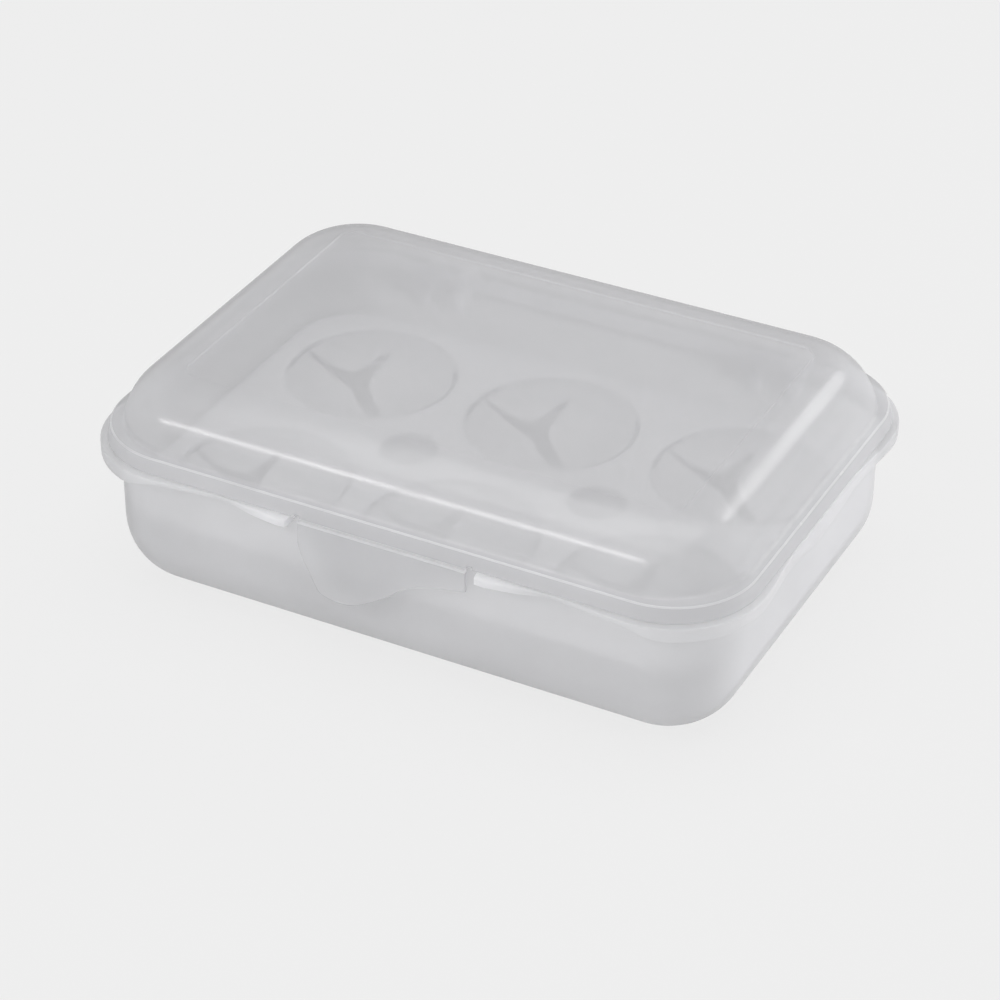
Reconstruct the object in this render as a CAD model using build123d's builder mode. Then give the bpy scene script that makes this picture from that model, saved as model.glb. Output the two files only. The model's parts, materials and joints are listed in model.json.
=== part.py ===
from build123d import *
import os
from math import atan, degrees, sqrt

# Egg keeper with a flip lid, in millimetres.
# X runs along the long side, Y from the latch at the front to the hinges at the
# back, and Z up. The origin is the centre of the face that the tub stands on.

# ---- driving dimensions -------------------------------------------------------

# tub: the wall rises inside the lid, and the rim stands out round it
tub_length = 188.8
tub_depth = 130.2
tub_corner = 21.7
tub_height = 48.0
tub_wall = 1.3
tub_floor = 1.5
tub_round = 19.5

# rim: a thin flange round the wall, and how far it stands out at each place
rim_top = 44.7
rim_thickness = 1.2
side_overhang = 3.7
corner_overhang = 5.6
ledge_overhang = 6.5
recess_overhang = 2.3
rim_fillet = 1.0
rim_edge_round = 0.5
corner_straight = 1.5
corner_fade = 22.0
ledge_thickness = 2.2
ledge_end_round = 1.6

# skirt: hangs from the rim's edge at the corners and, as a finger grip, at both ends
skirt_wall = 1.0
corner_drop = 4.1
grip_drop = 6.7
grip_neck_drop = 3.4
grip_half_width = 36.0
skirt_start_x = 68.0
skirt_full_x = 82.0

# lid
closed_height = 64.9
lid_wall = 1.2
lid_seat_gap = 0.3
lip_height = 4.5
lip_draft = 1.2
dome_overhang = 0.5
dome_corner = 26.2
dome_round = 18.4
panel_inset = 19.0
panel_depth = 0.4
panel_corner = 5.0
ledge_edge_round = 0.5

# back hinges: a lid knuckle with a pin at each end, between two cheeks of the tub
hinge_spacing = 110.0
hinge_reach = 9.4
knuckle_length = 9.0
knuckle_radius = 3.0
arm_angle = 37.0
pin_radius = 1.5
pin_length = 2.4
pin_clearance = 0.06
cheek_radius = 3.4
cheek_thickness = 2.4
cheek_root = 11.0
knuckle_gap = 0.3

# latch flap: hangs from the lip by a thin web, with a finger lobe left of the middle
flap_width = 50.8
flap_thickness = 1.2
flap_stand_off = 0.4
flap_web_gap = 0.35
flap_side_gap = 3.0
flap_notch_width = 1.6
flap_notch_height = 1.0
lobe_drop = 21.9
lobe_centre = -12.0
lobe_left_drop = 10.0
flap_right_drop = 6.8
flap_neck_drop = 11.0
flap_neck_x = 8.0
lobe_leaves = (0.1, -1)
lobe_arrives = (1, 0.12)
lobe_lift = 1.8
lobe_lift_height = 11.0
bead_radius = 0.8
bead_gap = 0.3
bead_length = 30.0

# egg tray: three cups by two, with two hollow feet between them
tray_top = 27.5
tray_wall = 1.0
tray_side_gap = 0.6
tray_seat_gap = 0.3
tray_draft = 1.4
cup_pitch_x = 60.0
cup_pitch_y = 63.0
cup_radius = 25.7
cup_columns = 3
cup_rows = 2
cup_wall_height = 1.1
petal_slope_drop = 2.6
petal_thickness = 0.8
# narrow arcs that part the petals from the cup's wall: from and to these angles
relief_width = 1.4
relief_angles = ((154, 195), (-46, 30))
# each petal's free edge in plan, from the rim round the hub and back to the rim
right_petal_edge = (
    (12.2, -21.0),
    (11.0, -19.2),
    (12.1, -16.8),
    (6.6, -10.0),
    (0.6, -2.6),
    (-1.5, 2.2),
    (-1.9, 8.0),
    (-1.9, 13.5),
    (-2.7, 16.6),
    (-2.5, 24.15),
)
back_petal_edge = (
    (-2.7, 24.15),
    (-3.0, 16.6),
    (-4.6, 13.5),
    (-5.6, 8.0),
    (-7.0, 3.9),
    (-8.6, 2.6),
    (-12.2, 1.9),
    (-17.5, 2.6),
    (-21.5, 4.2),
    (-23.8, 4.8),
)
front_petal_edge = (
    (-24.1, 3.1),
    (-21.5, 1.6),
    (-12.1, -2.6),
    (-3.9, -6.4),
    (-1.8, -8.2),
    (3.3, -13.6),
    (8.3, -18.2),
    (10.5, -19.0),
    (11.9, -21.2),
)
foot_radius = 8.0
foot_tip_radius = 4.0

# ---- derived places -----------------------------------------------------------

half_length = tub_length / 2
half_depth = tub_depth / 2
rim_bottom = rim_top - rim_thickness
ledge_bottom = rim_top - ledge_thickness
lip_bottom = rim_top + lid_seat_gap
lip_top = lip_bottom + lip_height
hinge_y = half_depth + hinge_reach
hinge_z = rim_top - cheek_radius
knuckle_half = knuckle_length / 2
flap_half = flap_width / 2
flap_y = -(half_depth + side_overhang + flap_stand_off)
flap_top = lip_bottom - flap_web_gap
flap_hinge_z = flap_top - flap_thickness / 2
recess_half = flap_half + flap_side_gap
inner_length = tub_length - 2 * tub_wall
inner_depth = tub_depth - 2 * tub_wall
inner_corner = tub_corner - tub_wall
inner_round = tub_round - tub_wall


def level_at(height):
    """Returns a test for edges that lie level at a height."""
    return lambda edge: max(
        abs(edge.bounding_box().min.Z - height), abs(edge.bounding_box().max.Z - height)
    ) < 0.01


# ---- base tub -----------------------------------------------------------------

corner_x = half_length + corner_overhang
corner_y = half_depth + corner_overhang
corner_radius = tub_corner + corner_overhang
side_x = half_length + side_overhang
side_y = half_depth + side_overhang
ledge_y = half_depth + ledge_overhang
recess_y = half_depth + recess_overhang
ear_x = corner_x - corner_radius - corner_straight
ear_y = corner_y - corner_radius - corner_straight


def rim_plan(inset):
    """Returns the rim's outline in plan, drawn in by inset, with its swells at the
    corners and a ledge on each side of the latch's recess."""
    with BuildSketch() as plan:
        with BuildLine():
            Polyline(
                (0, -recess_y),
                (recess_half, -recess_y),
                (recess_half, -ledge_y),
                (ear_x - corner_fade, -side_y),
                (ear_x, -corner_y),
                (corner_x, -corner_y),
                (corner_x, -ear_y),
                (side_x, -(ear_y - corner_fade)),
                (side_x, ear_y - corner_fade),
                (corner_x, ear_y),
                (corner_x, corner_y),
                (ear_x, corner_y),
                (ear_x - corner_fade, side_y),
                (0, side_y),
            )
            mirror(about=Plane.YZ)
        make_face()
        corners = plan.vertices().filter_by(
            lambda v: abs(abs(v.X) - corner_x) < 0.01 and abs(abs(v.Y) - corner_y) < 0.01
        )
        fillet(corners, corner_radius)
        ledge_ends = plan.vertices().filter_by(lambda v: abs(v.Y + ledge_y) < 0.01)
        fillet(ledge_ends, ledge_end_round)
        if inset > 0:
            offset(amount=-inset, mode=Mode.REPLACE)
    return plan.sketch


def rim():
    """Returns the flange, its two thicker ledges and the skirt under its edge."""
    outline = rim_plan(0)
    far = 2 * tub_length
    with BuildPart() as skirt:
        with BuildSketch(Plane.XY.offset(rim_top - grip_drop)):
            add(outline)
            add(rim_plan(skirt_wall), mode=Mode.SUBTRACT)
        extrude(amount=grip_drop)
        # the skirt's lower edge waves along each end: it dips in the middle for a grip
        with BuildSketch(Plane.YZ):
            with BuildLine():
                wave = Spline(
                    (-corner_y, rim_top - corner_drop),
                    (-grip_half_width, rim_top - grip_neck_drop),
                    (0, rim_top - grip_drop),
                    (grip_half_width, rim_top - grip_neck_drop),
                    (corner_y, rim_top - corner_drop),
                )
                Polyline(wave @ 1, (corner_y, 0), (-corner_y, 0), wave @ 0)
            make_face()
        extrude(amount=far, both=True, mode=Mode.SUBTRACT)
        # along the front and the back it fades into the flange
        with BuildSketch(Plane.XZ):
            with BuildLine():
                fade = Spline(
                    (skirt_start_x, rim_top - rim_thickness),
                    (skirt_full_x, rim_top - corner_drop),
                    tangents=((1, 0), (1, 0)),
                )
                Polyline(fade @ 1, (skirt_full_x, 0), (0, 0))
                Line((0, rim_top - rim_thickness), fade @ 0)
                mirror(about=Plane.YZ)
            make_face()
        extrude(amount=far, both=True, mode=Mode.SUBTRACT)
    with BuildPart() as whole:
        with BuildSketch(Plane.XY.offset(rim_top)):
            add(outline)
        extrude(amount=-rim_thickness)
        with BuildSketch(Plane.XY.offset(rim_top)):
            add(outline)
            Rectangle(2 * (ear_x - corner_fade), far, mode=Mode.INTERSECT)
            Rectangle(far, far, align=(Align.CENTER, Align.MIN), mode=Mode.SUBTRACT)
        extrude(amount=-ledge_thickness)
        add(skirt.part)
        fillet(whole.edges().filter_by(level_at(rim_top)), rim_edge_round)
    return whole.part


def under_collar(edge):
    """True for a level edge where the collar's underside meets the tub's wall."""
    if not level_at(rim_bottom)(edge):
        return False
    if edge.geom_type == GeomType.CIRCLE:
        return abs(edge.radius - tub_corner) < 0.01
    middle = edge.center()
    return abs(abs(middle.X) - half_length) < 0.01 or abs(abs(middle.Y) - half_depth) < 0.01


with BuildPart() as base_tub:
    # outer wall, with the large rounding at the floor
    with BuildSketch(Plane.XY):
        RectangleRounded(tub_length, tub_depth, tub_corner)
    extrude(amount=tub_height)
    fillet(base_tub.edges().group_by(Axis.Z)[0], tub_round)
    # the rim's inner part, an even collar that is blended into the wall below it
    with BuildSketch(Plane.XY.offset(rim_bottom)):
        RectangleRounded(
            tub_length + 2 * recess_overhang,
            tub_depth + 2 * recess_overhang,
            tub_corner + recess_overhang,
        )
    extrude(amount=rim_thickness - rim_edge_round)
    fillet(base_tub.edges().filter_by(under_collar), rim_fillet)
    add(rim())
    # hollow inside
    with BuildSketch(Plane.XY.offset(tub_floor)):
        RectangleRounded(inner_length, inner_depth, inner_corner)
    hollow = extrude(amount=tub_height, mode=Mode.PRIVATE)
    hollow = hollow.fillet(inner_round, hollow.edges().group_by(Axis.Z)[0])
    add(hollow, mode=Mode.SUBTRACT)
    # hinge cheeks on the back rim, with a bore for each pin
    for side in (-1, 1):
        for face in (-1, 1):
            inner_face = side * hinge_spacing / 2 + face * (knuckle_half + knuckle_gap)
            with BuildSketch(Plane.YZ.offset(inner_face)):
                with BuildLine():
                    Polyline(
                        (half_depth - tub_wall / 2, rim_top),
                        (hinge_y, rim_top),
                        (hinge_y, hinge_z - cheek_radius),
                        (half_depth - tub_wall / 2, rim_top - cheek_root),
                        close=True,
                    )
                make_face()
                with Locations((hinge_y, hinge_z)):
                    Circle(cheek_radius)
                    Circle(pin_radius + pin_clearance, mode=Mode.SUBTRACT)
            extrude(amount=face * cheek_thickness)

base_tub.part.label = "base_tub"

# ---- flip lid -----------------------------------------------------------------

dome_length = tub_length + 2 * dome_overhang
dome_depth = tub_depth + 2 * dome_overhang
panel_length = dome_length - 2 * panel_inset
panel_width = dome_depth - 2 * panel_inset
lip_taper = degrees(atan(lip_draft / lip_height))
lip_corner = tub_corner + side_overhang


def dome(shrink):
    """Returns the domed block, smaller by shrink on every side, reaching below the lip."""
    base = lip_bottom - dome_round
    height = closed_height - shrink - base
    with BuildPart() as block:
        with BuildSketch(Plane.XY.offset(base)):
            RectangleRounded(dome_length - 2 * shrink, dome_depth - 2 * shrink, dome_corner - shrink)
        extrude(amount=height)
        fillet(block.edges().group_by(Axis.Z)[-1], dome_round - shrink)
    return block.part


# the knuckle's arm springs from the barrel at this point of its rim
arm_foot = Vector(hinge_y, hinge_z) + Vector(-knuckle_radius, 0).rotate(Axis.Z, -arm_angle)


def on_lip_edge(edge):
    """True for a level edge of the lip's own outline, at its top."""
    if not level_at(lip_top)(edge):
        return False
    middle = edge.center()
    on_end = abs(abs(middle.X) - (side_x - lip_draft)) < 0.01
    on_side = abs(abs(middle.Y) - (side_y - lip_draft)) < 0.01
    return edge.geom_type == GeomType.CIRCLE or on_end or on_side


with BuildPart() as flip_lid:
    # dome, cut off level with the lip
    add(dome(0))
    with BuildSketch(Plane.XY.offset(lip_bottom)):
        Rectangle(2 * tub_length, 2 * tub_depth)
    extrude(amount=-2 * dome_round, mode=Mode.SUBTRACT)
    # lip and the ledge that it makes round the dome
    with BuildSketch(Plane.XY.offset(lip_bottom)):
        RectangleRounded(2 * side_x, 2 * side_y, lip_corner)
    extrude(amount=lip_height, taper=lip_taper)
    fillet(flip_lid.edges().filter_by(on_lip_edge), ledge_edge_round)
    # sunk panel on top
    with BuildSketch(Plane.XY.offset(closed_height)):
        RectangleRounded(panel_length, panel_width, panel_corner)
    extrude(amount=-panel_depth, mode=Mode.SUBTRACT)
    # hollow of the dome and the groove inside the lip that clears the tub's wall
    add(dome(lid_wall), mode=Mode.SUBTRACT)
    with BuildSketch(Plane.XY.offset(lip_bottom)):
        RectangleRounded(2 * (side_x - lid_wall), 2 * (side_y - lid_wall), lip_corner - lid_wall)
    extrude(amount=lip_height - lid_wall, taper=lip_taper, mode=Mode.SUBTRACT)
    # the panel's underside, as far below the top inside as outside
    with BuildSketch(Plane.XY.offset(closed_height - panel_depth - lid_wall)):
        RectangleRounded(panel_length, panel_width, panel_corner)
    extrude(amount=lid_wall)
    # notch in the lip at each end of the latch flap
    with BuildSketch(Plane.XY.offset(lip_bottom)):
        with Locations(
            (-flap_half - flap_notch_width / 2, -side_y),
            (flap_half + flap_notch_width / 2, -side_y),
        ):
            Rectangle(flap_notch_width, 4 * lid_wall)
    extrude(amount=flap_notch_height, mode=Mode.SUBTRACT)
    # hinge knuckles, each with a pin at both ends
    for side in (-1, 1):
        with BuildSketch(Plane.YZ.offset(side * hinge_spacing / 2)):
            with BuildLine():
                Polyline(
                    (side_y - lid_wall / 2, lip_bottom + lid_wall),
                    (side_y - lid_wall, lip_top - ledge_edge_round),
                    (hinge_y, hinge_z + knuckle_radius),
                    (hinge_y, hinge_z),
                    arm_foot,
                    close=True,
                )
            make_face()
            with Locations((hinge_y, hinge_z)):
                Circle(knuckle_radius)
        extrude(amount=knuckle_half, both=True)
        with BuildSketch(Plane.YZ.offset(side * hinge_spacing / 2)):
            with Locations((hinge_y, hinge_z)):
                Circle(pin_radius)
        extrude(amount=knuckle_half + pin_length, both=True)

flip_lid.part.label = "flip_lid"

# ---- latch flap ---------------------------------------------------------------

flap_inner = flap_y + flap_thickness / 2

with BuildPart() as latch_flap:
    # outline seen from the front: a deep finger lobe that rises in an S to the right
    with BuildSketch(Plane.XZ.offset(-flap_y)):
        with BuildLine():
            left_side = Line((-flap_half, flap_top), (-flap_half, flap_top - lobe_left_drop))
            lobe = Spline(
                left_side @ 1,
                (lobe_centre, flap_top - lobe_drop),
                (flap_neck_x, flap_top - flap_neck_drop),
                (flap_half, flap_top - flap_right_drop),
                tangents=(lobe_leaves, lobe_arrives),
            )
            Polyline(lobe @ 1, (flap_half, flap_top), (-flap_half, flap_top))
        make_face()
    extrude(amount=2 * (lobe_lift + flap_thickness), both=True)
    # section through the flap: a round top edge about the axis that it turns on, an
    # upright run, and a curve outwards at the lobe for a finger
    lift_start = flap_top - lobe_drop + lobe_lift_height
    with BuildSketch(Plane.YZ):
        with BuildLine():
            straight = Line((flap_y, flap_hinge_z), (flap_y, lift_start))
            Bezier(
                straight @ 1,
                (flap_y, lift_start - lobe_lift_height / 2),
                (flap_y - lobe_lift, lift_start - lobe_lift_height - flap_thickness),
            )
        trace(line_width=flap_thickness)
        with Locations((flap_y, flap_hinge_z)):
            Circle(flap_thickness / 2)
    extrude(amount=flap_width, both=True, mode=Mode.INTERSECT)
    # bead on the inner face that clicks under the tub's rim
    with BuildSketch(Plane.YZ):
        with Locations((flap_inner, ledge_bottom - bead_gap - bead_radius)):
            Circle(bead_radius)
    extrude(amount=bead_length / 2, both=True)

latch_flap.part.label = "latch_flap"

# ---- egg tray -----------------------------------------------------------------

tray_length = inner_length - 2 * tray_side_gap
tray_depth = inner_depth - 2 * tray_side_gap
tray_corner = inner_corner - tray_side_gap
# the skirt ends where its foot meets the rounding at the tub's floor, less the seat gap
skirt_run = inner_round - tray_side_gap - tray_draft
skirt_rise = sqrt((inner_round - tray_seat_gap) ** 2 - skirt_run**2)
skirt_bottom = tub_floor + inner_round - skirt_rise


def tray_block(shrink, top):
    """Returns the drafted block of the tray's outline, smaller by shrink on every side."""
    with BuildPart() as block:
        for height, draft in ((skirt_bottom, tray_draft), (top, 0)):
            inset = shrink + draft
            with BuildSketch(Plane.XY.offset(height)):
                RectangleRounded(tray_length - 2 * inset, tray_depth - 2 * inset, tray_corner - inset)
        loft(ruled=True)
    return block.part


wall_foot = tray_top - cup_wall_height
hub_height = wall_foot - petal_slope_drop
cup_places = [
    ((column - (cup_columns - 1) / 2) * cup_pitch_x, (row - (cup_rows - 1) / 2) * cup_pitch_y)
    for column in range(cup_columns)
    for row in range(cup_rows)
]
foot_places = [
    ((column - (cup_columns - 2) / 2) * cup_pitch_x, 0)
    for column in range(cup_columns - 1)
]
foot_bottom = tub_floor + tray_seat_gap


def cup():
    """Returns one cup about the Z axis: a ring wall, and a shallow cone slit into three petals."""
    with BuildPart() as turned:
        with BuildSketch(Plane.XZ):
            with BuildLine():
                Polyline(
                    (0, hub_height),
                    (cup_radius, wall_foot),
                    (cup_radius, tray_top),
                    (cup_radius + tray_wall, tray_top),
                    (cup_radius + tray_wall, wall_foot - petal_thickness),
                    (cup_radius, wall_foot - petal_thickness),
                    (0, hub_height - petal_thickness),
                    close=True,
                )
            make_face()
        revolve(axis=Axis.Z)
        with BuildSketch(Plane.XY.offset(tray_top)):
            # Y-shaped slot between the free edges of the three petals
            Polygon(*right_petal_edge, *back_petal_edge, *front_petal_edge, align=None)
            for start, end in relief_angles:
                middle = CenterArc(
                    (0, 0), cup_radius - relief_width / 2, start, end - start, mode=Mode.PRIVATE
                )
                SlotArc(middle, relief_width)
        extrude(amount=-2 * (cup_wall_height + petal_slope_drop + petal_thickness), mode=Mode.SUBTRACT)
    return turned.part


def foot():
    """Returns one hollow foot about the Z axis, open at the top and closed at the floor."""
    with BuildPart() as turned:
        with BuildSketch(Plane.XZ):
            with BuildLine():
                Polyline(
                    (0, foot_bottom),
                    (foot_tip_radius + tray_wall, foot_bottom),
                    (foot_radius + tray_wall, tray_top),
                    (foot_radius, tray_top),
                    (foot_tip_radius, foot_bottom + tray_wall),
                    (0, foot_bottom + tray_wall),
                    close=True,
                )
            make_face()
        revolve(axis=Axis.Z)
    return turned.part


cup_shape = cup()
foot_shape = foot()

with BuildPart() as egg_tray:
    # top plate and skirt
    add(tray_block(0, tray_top))
    add(tray_block(tray_wall, tray_top - tray_wall), mode=Mode.SUBTRACT)
    # openings for the cups and the feet
    with BuildSketch(Plane.XY.offset(tray_top)):
        with Locations(*cup_places):
            Circle(cup_radius + tray_wall / 2)
        with Locations(*foot_places):
            Circle(foot_radius)
    extrude(amount=-2 * tray_wall, mode=Mode.SUBTRACT)
    with Locations(*cup_places):
        add(cup_shape)
    with Locations(*foot_places):
        add(foot_shape)

egg_tray.part.label = "egg_tray"

# ---- export -------------------------------------------------------------------

os.makedirs("parts", exist_ok=True)
for built in (base_tub, flip_lid, latch_flap, egg_tray):
    export_step(built.part, f"parts/{built.part.label}.step")
    print(built.part.label, "volume", round(built.part.volume / 1000, 2), "cm3")
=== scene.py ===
"""Looks of a milky, see-through egg keeper with a flip lid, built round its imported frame.

Lengths are in metres and every piece is made where it stands: X runs along the long
side, Y from the latch at the front to the hinges behind, and Z up from the worktop.
"""

import json
import logging
import math
from dataclasses import dataclass, field
from enum import Enum

import bmesh
import bpy
import numpy as np
from mathutils import Matrix, Vector


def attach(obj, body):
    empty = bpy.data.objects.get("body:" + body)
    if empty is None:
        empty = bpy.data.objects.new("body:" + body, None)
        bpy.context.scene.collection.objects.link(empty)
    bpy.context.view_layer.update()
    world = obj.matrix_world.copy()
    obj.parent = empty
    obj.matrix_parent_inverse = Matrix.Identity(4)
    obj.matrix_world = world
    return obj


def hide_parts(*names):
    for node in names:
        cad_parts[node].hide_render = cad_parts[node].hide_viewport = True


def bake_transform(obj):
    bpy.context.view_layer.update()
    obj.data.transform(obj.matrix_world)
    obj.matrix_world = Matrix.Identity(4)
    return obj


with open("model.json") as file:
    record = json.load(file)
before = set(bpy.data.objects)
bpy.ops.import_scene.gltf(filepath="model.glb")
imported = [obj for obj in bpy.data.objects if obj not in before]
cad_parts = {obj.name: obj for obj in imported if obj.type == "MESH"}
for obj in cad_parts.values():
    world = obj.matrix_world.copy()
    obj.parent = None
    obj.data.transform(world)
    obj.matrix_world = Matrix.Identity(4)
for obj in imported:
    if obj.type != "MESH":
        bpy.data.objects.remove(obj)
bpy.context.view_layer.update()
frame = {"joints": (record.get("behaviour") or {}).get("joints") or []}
_, HINGE_Y, HINGE_Z = next(j["pos_m"] for j in frame["joints"] if j["name"] == "lid_hinge")
MERGE = 2e-6
CREASE = 38.0
HINGE_CREASE = 30.0
CUT_ANGLE = 60.0
STOP_STEP = 0.0024
STOP_PAIR = 0.00004
log = logging.getLogger("egg_keeper")
Socket = bpy.types.NodeSocket


class Body(str, Enum):
    """The moving bodies of the box."""

    TUB = "tub"
    LID = "lid"
    LATCH = "latch"
    TRAY = "tray"


class Slot(str, Enum):
    """The material slots that the record names."""

    TUB = "tub_plastic"
    LID = "lid_plastic"
    TRAY = "tray_plastic"


# ---- curves and grids -----------------------------------------------------------------


def smooth(value: np.ndarray, low: float, high: float) -> np.ndarray:
    """Rises from 0 at low to 1 at high along the S of 3t^2 - 2t^3.

    Args:
        value: Where to read the rise.
        low: The value at which it starts.
        high: The value at which it ends.

    Returns:
        The share risen at each value.
    """
    t = np.clip((np.asarray(value, float) - low) / (high - low), 0, 1)
    return t * t * (3 - 2 * t)


def arc(centre: tuple, radius: float, start: float, end: float, steps: int) -> np.ndarray:
    """Points round a circle, centre + radius * (cos a, sin a), with a even from start to end.

    Args:
        centre: The circle's centre in the profile's plane.
        radius: Its radius.
        start: The first angle in degrees.
        end: The last angle in degrees.
        steps: How many chords the arc has.

    Returns:
        One row of two numbers for each point.
    """
    a = np.radians(np.linspace(start, end, steps + 1))
    return np.stack([centre[0] + radius * np.cos(a), centre[1] + radius * np.sin(a)], axis=1)


def bend(first: tuple, corner: tuple, last: tuple, steps: int) -> np.ndarray:
    """A quadratic Bezier: (1-t)^2 first + 2t(1-t) corner + t^2 last.

    Args:
        first: Where the bend starts.
        corner: The point that it leans towards.
        last: Where it ends.
        steps: How many chords it has.

    Returns:
        One row of two numbers for each point.
    """
    t = np.linspace(0, 1, steps + 1)[:, None]
    a, b, c = (np.array(p, float) for p in (first, corner, last))
    return (1 - t) ** 2 * a + 2 * t * (1 - t) * b + t**2 * c


def through(knots: tuple, steps: int) -> np.ndarray:
    """A smooth curve through knots: each span is the Catmull-Rom cubic of its four neighbours.

    Args:
        knots: The points that the curve passes.
        steps: How many chords each span has.

    Returns:
        One row for each point of the curve.
    """
    p = np.array(knots, float)
    p = np.vstack([2 * p[0] - p[1], p, 2 * p[-1] - p[-2]])
    t = (np.arange(steps) / steps)[None, :, None]
    a, b, c, d = (p[i : len(p) - 3 + i, None, :] for i in range(4))
    curve = 0.5 * (
        2 * b + (c - a) * t + (2 * a - 5 * b + 4 * c - d) * t**2 + (3 * b - a - 3 * c + d) * t**3
    )
    return np.vstack([curve.reshape(-1, p.shape[1]), p[-2]])


def quads(grid: np.ndarray, around: bool = False, keep: np.ndarray | None = None) -> np.ndarray:
    """Faces between neighbours of a grid of vertex numbers.

    Args:
        grid: Vertex numbers, rows by columns.
        around: True if the last column meets the first.
        keep: For each face of the grid, whether it is wanted.

    Returns:
        One row of four vertex numbers for each face.
    """
    if around:
        grid = np.hstack([grid, grid[:, :1]])
    faces = np.stack([grid[:-1, :-1], grid[:-1, 1:], grid[1:, 1:], grid[1:, :-1]], axis=-1)
    return faces[keep] if keep is not None else faces.reshape(-1, 4)


def numbers(points: np.ndarray) -> np.ndarray:
    """The vertex number of each point of a grid of points, row after row."""
    return np.arange(points.shape[0] * points.shape[1]).reshape(points.shape[:2])


def quarter(steps: int) -> np.ndarray:
    """A quarter round of radius 1 in its own square: (1 - cos a, 1 - sin a), a from 0 to 90 degrees.

    Args:
        steps: How many chords it has.

    Returns:
        One row of two numbers for each point.
    """
    a = np.linspace(0, math.pi / 2, steps + 1)
    return np.stack([1 - np.cos(a), 1 - np.sin(a)], axis=1)


def per_face(mesh: bpy.types.Mesh, what: str) -> np.ndarray:
    """One vector for each face of a mesh.

    Args:
        mesh: The mesh.
        what: "center" or "normal".

    Returns:
        One row for each face.
    """
    values = np.empty(3 * len(mesh.polygons))
    mesh.polygons.foreach_get(what, values)
    return values.reshape(-1, 3)


def piece(name: str, points: np.ndarray, faces: np.ndarray, crease: float = CREASE) -> bpy.types.Object:
    """Makes one object from points and faces, closes its seams and poles and turns it outwards.

    Args:
        name: The piece's name.
        points: One row of three numbers for each vertex.
        faces: One row of four vertex numbers for each face.
        crease: Edges that turn by more than this many degrees stay crisp.

    Returns:
        The object, at the origin.
    """
    mesh = bpy.data.meshes.new(name)
    mesh.from_pydata(points.reshape(-1, 3).tolist(), [], faces.tolist())
    form = bmesh.new()
    form.from_mesh(mesh)
    bmesh.ops.remove_doubles(form, verts=form.verts, dist=MERGE)
    bmesh.ops.dissolve_degenerate(form, edges=form.edges, dist=MERGE / 4)
    loose = [point for point in form.verts if not point.link_faces]
    bmesh.ops.delete(form, geom=loose, context="VERTS")
    bmesh.ops.recalc_face_normals(form, faces=form.faces)
    form.to_mesh(mesh)
    form.free()
    mesh.shade_smooth()
    mesh.set_sharp_from_angle(angle=math.radians(crease))
    made = bpy.data.objects.new(name, mesh)
    bpy.context.scene.collection.objects.link(made)
    log.info("%s: %d vertices, %d faces", name, len(mesh.vertices), len(mesh.polygons))
    return made


def thicken(made: bpy.types.Object, wall: float, soft: float, crease: float = CREASE) -> None:
    """Gives a sheet its thickness, half to each side, and rounds its cut edges.

    Args:
        made: The sheet's object, whose mesh is replaced.
        wall: The thickness.
        soft: How wide the rounding of the cut edges is.
        crease: Edges that turn by more than this many degrees stay crisp.
    """
    shell = made.modifiers.new("wall", "SOLIDIFY")
    shell.thickness, shell.offset = wall, 0.0
    shell.use_even_offset = True
    shell.use_quality_normals = True
    rounding = made.modifiers.new("edges", "BEVEL")
    rounding.width, rounding.segments = soft, 2
    rounding.limit_method, rounding.angle_limit = "ANGLE", math.radians(CUT_ANGLE)
    solid = bpy.data.meshes.new_from_object(made.evaluated_get(bpy.context.evaluated_depsgraph_get()))
    made.modifiers.clear()
    sheet, made.data = made.data, solid
    bpy.data.meshes.remove(sheet)
    solid.name = made.name
    solid.shade_smooth()
    solid.set_sharp_from_angle(angle=math.radians(crease))
    log.info("%s: %d faces with its thickness", made.name, len(solid.polygons))


@dataclass(frozen=True)
class Outline:
    """A rounded rectangle in plan, centred on the Z axis."""

    half_x: float
    half_y: float
    corner: float

    def offset(self, out: np.ndarray, z: np.ndarray) -> np.ndarray:
        """Outlines drawn outwards, each at its own height.

        Args:
            out: How far each is drawn out.
            z: Its height.

        Returns:
            One row of half length, half depth, corner radius and height for each outline.
        """
        out, z = np.broadcast_arrays(np.atleast_1d(np.asarray(out, float)), z)
        return np.stack([self.half_x + out, self.half_y + out, self.corner + out, z], axis=1)

    def grown(self, out: float) -> "Outline":
        """The same outline drawn outwards, or inwards where out is less than 0."""
        return Outline(self.half_x + out, self.half_y + out, self.corner + out)

    def to_middle(self, z: float, steps: int) -> np.ndarray:
        """Level outlines that shrink evenly until they meet in the line between the two ends.

        Args:
            z: Their height.
            steps: How many there are.

        Returns:
            One row for each outline, as offset gives them.
        """
        t = np.linspace(0, 1, steps + 1)[1:]
        rows = (self.half_x - self.half_y * t, self.half_y * (1 - t), self.corner * (1 - t))
        return np.stack([*rows, np.full_like(t, z)], axis=1)


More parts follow.
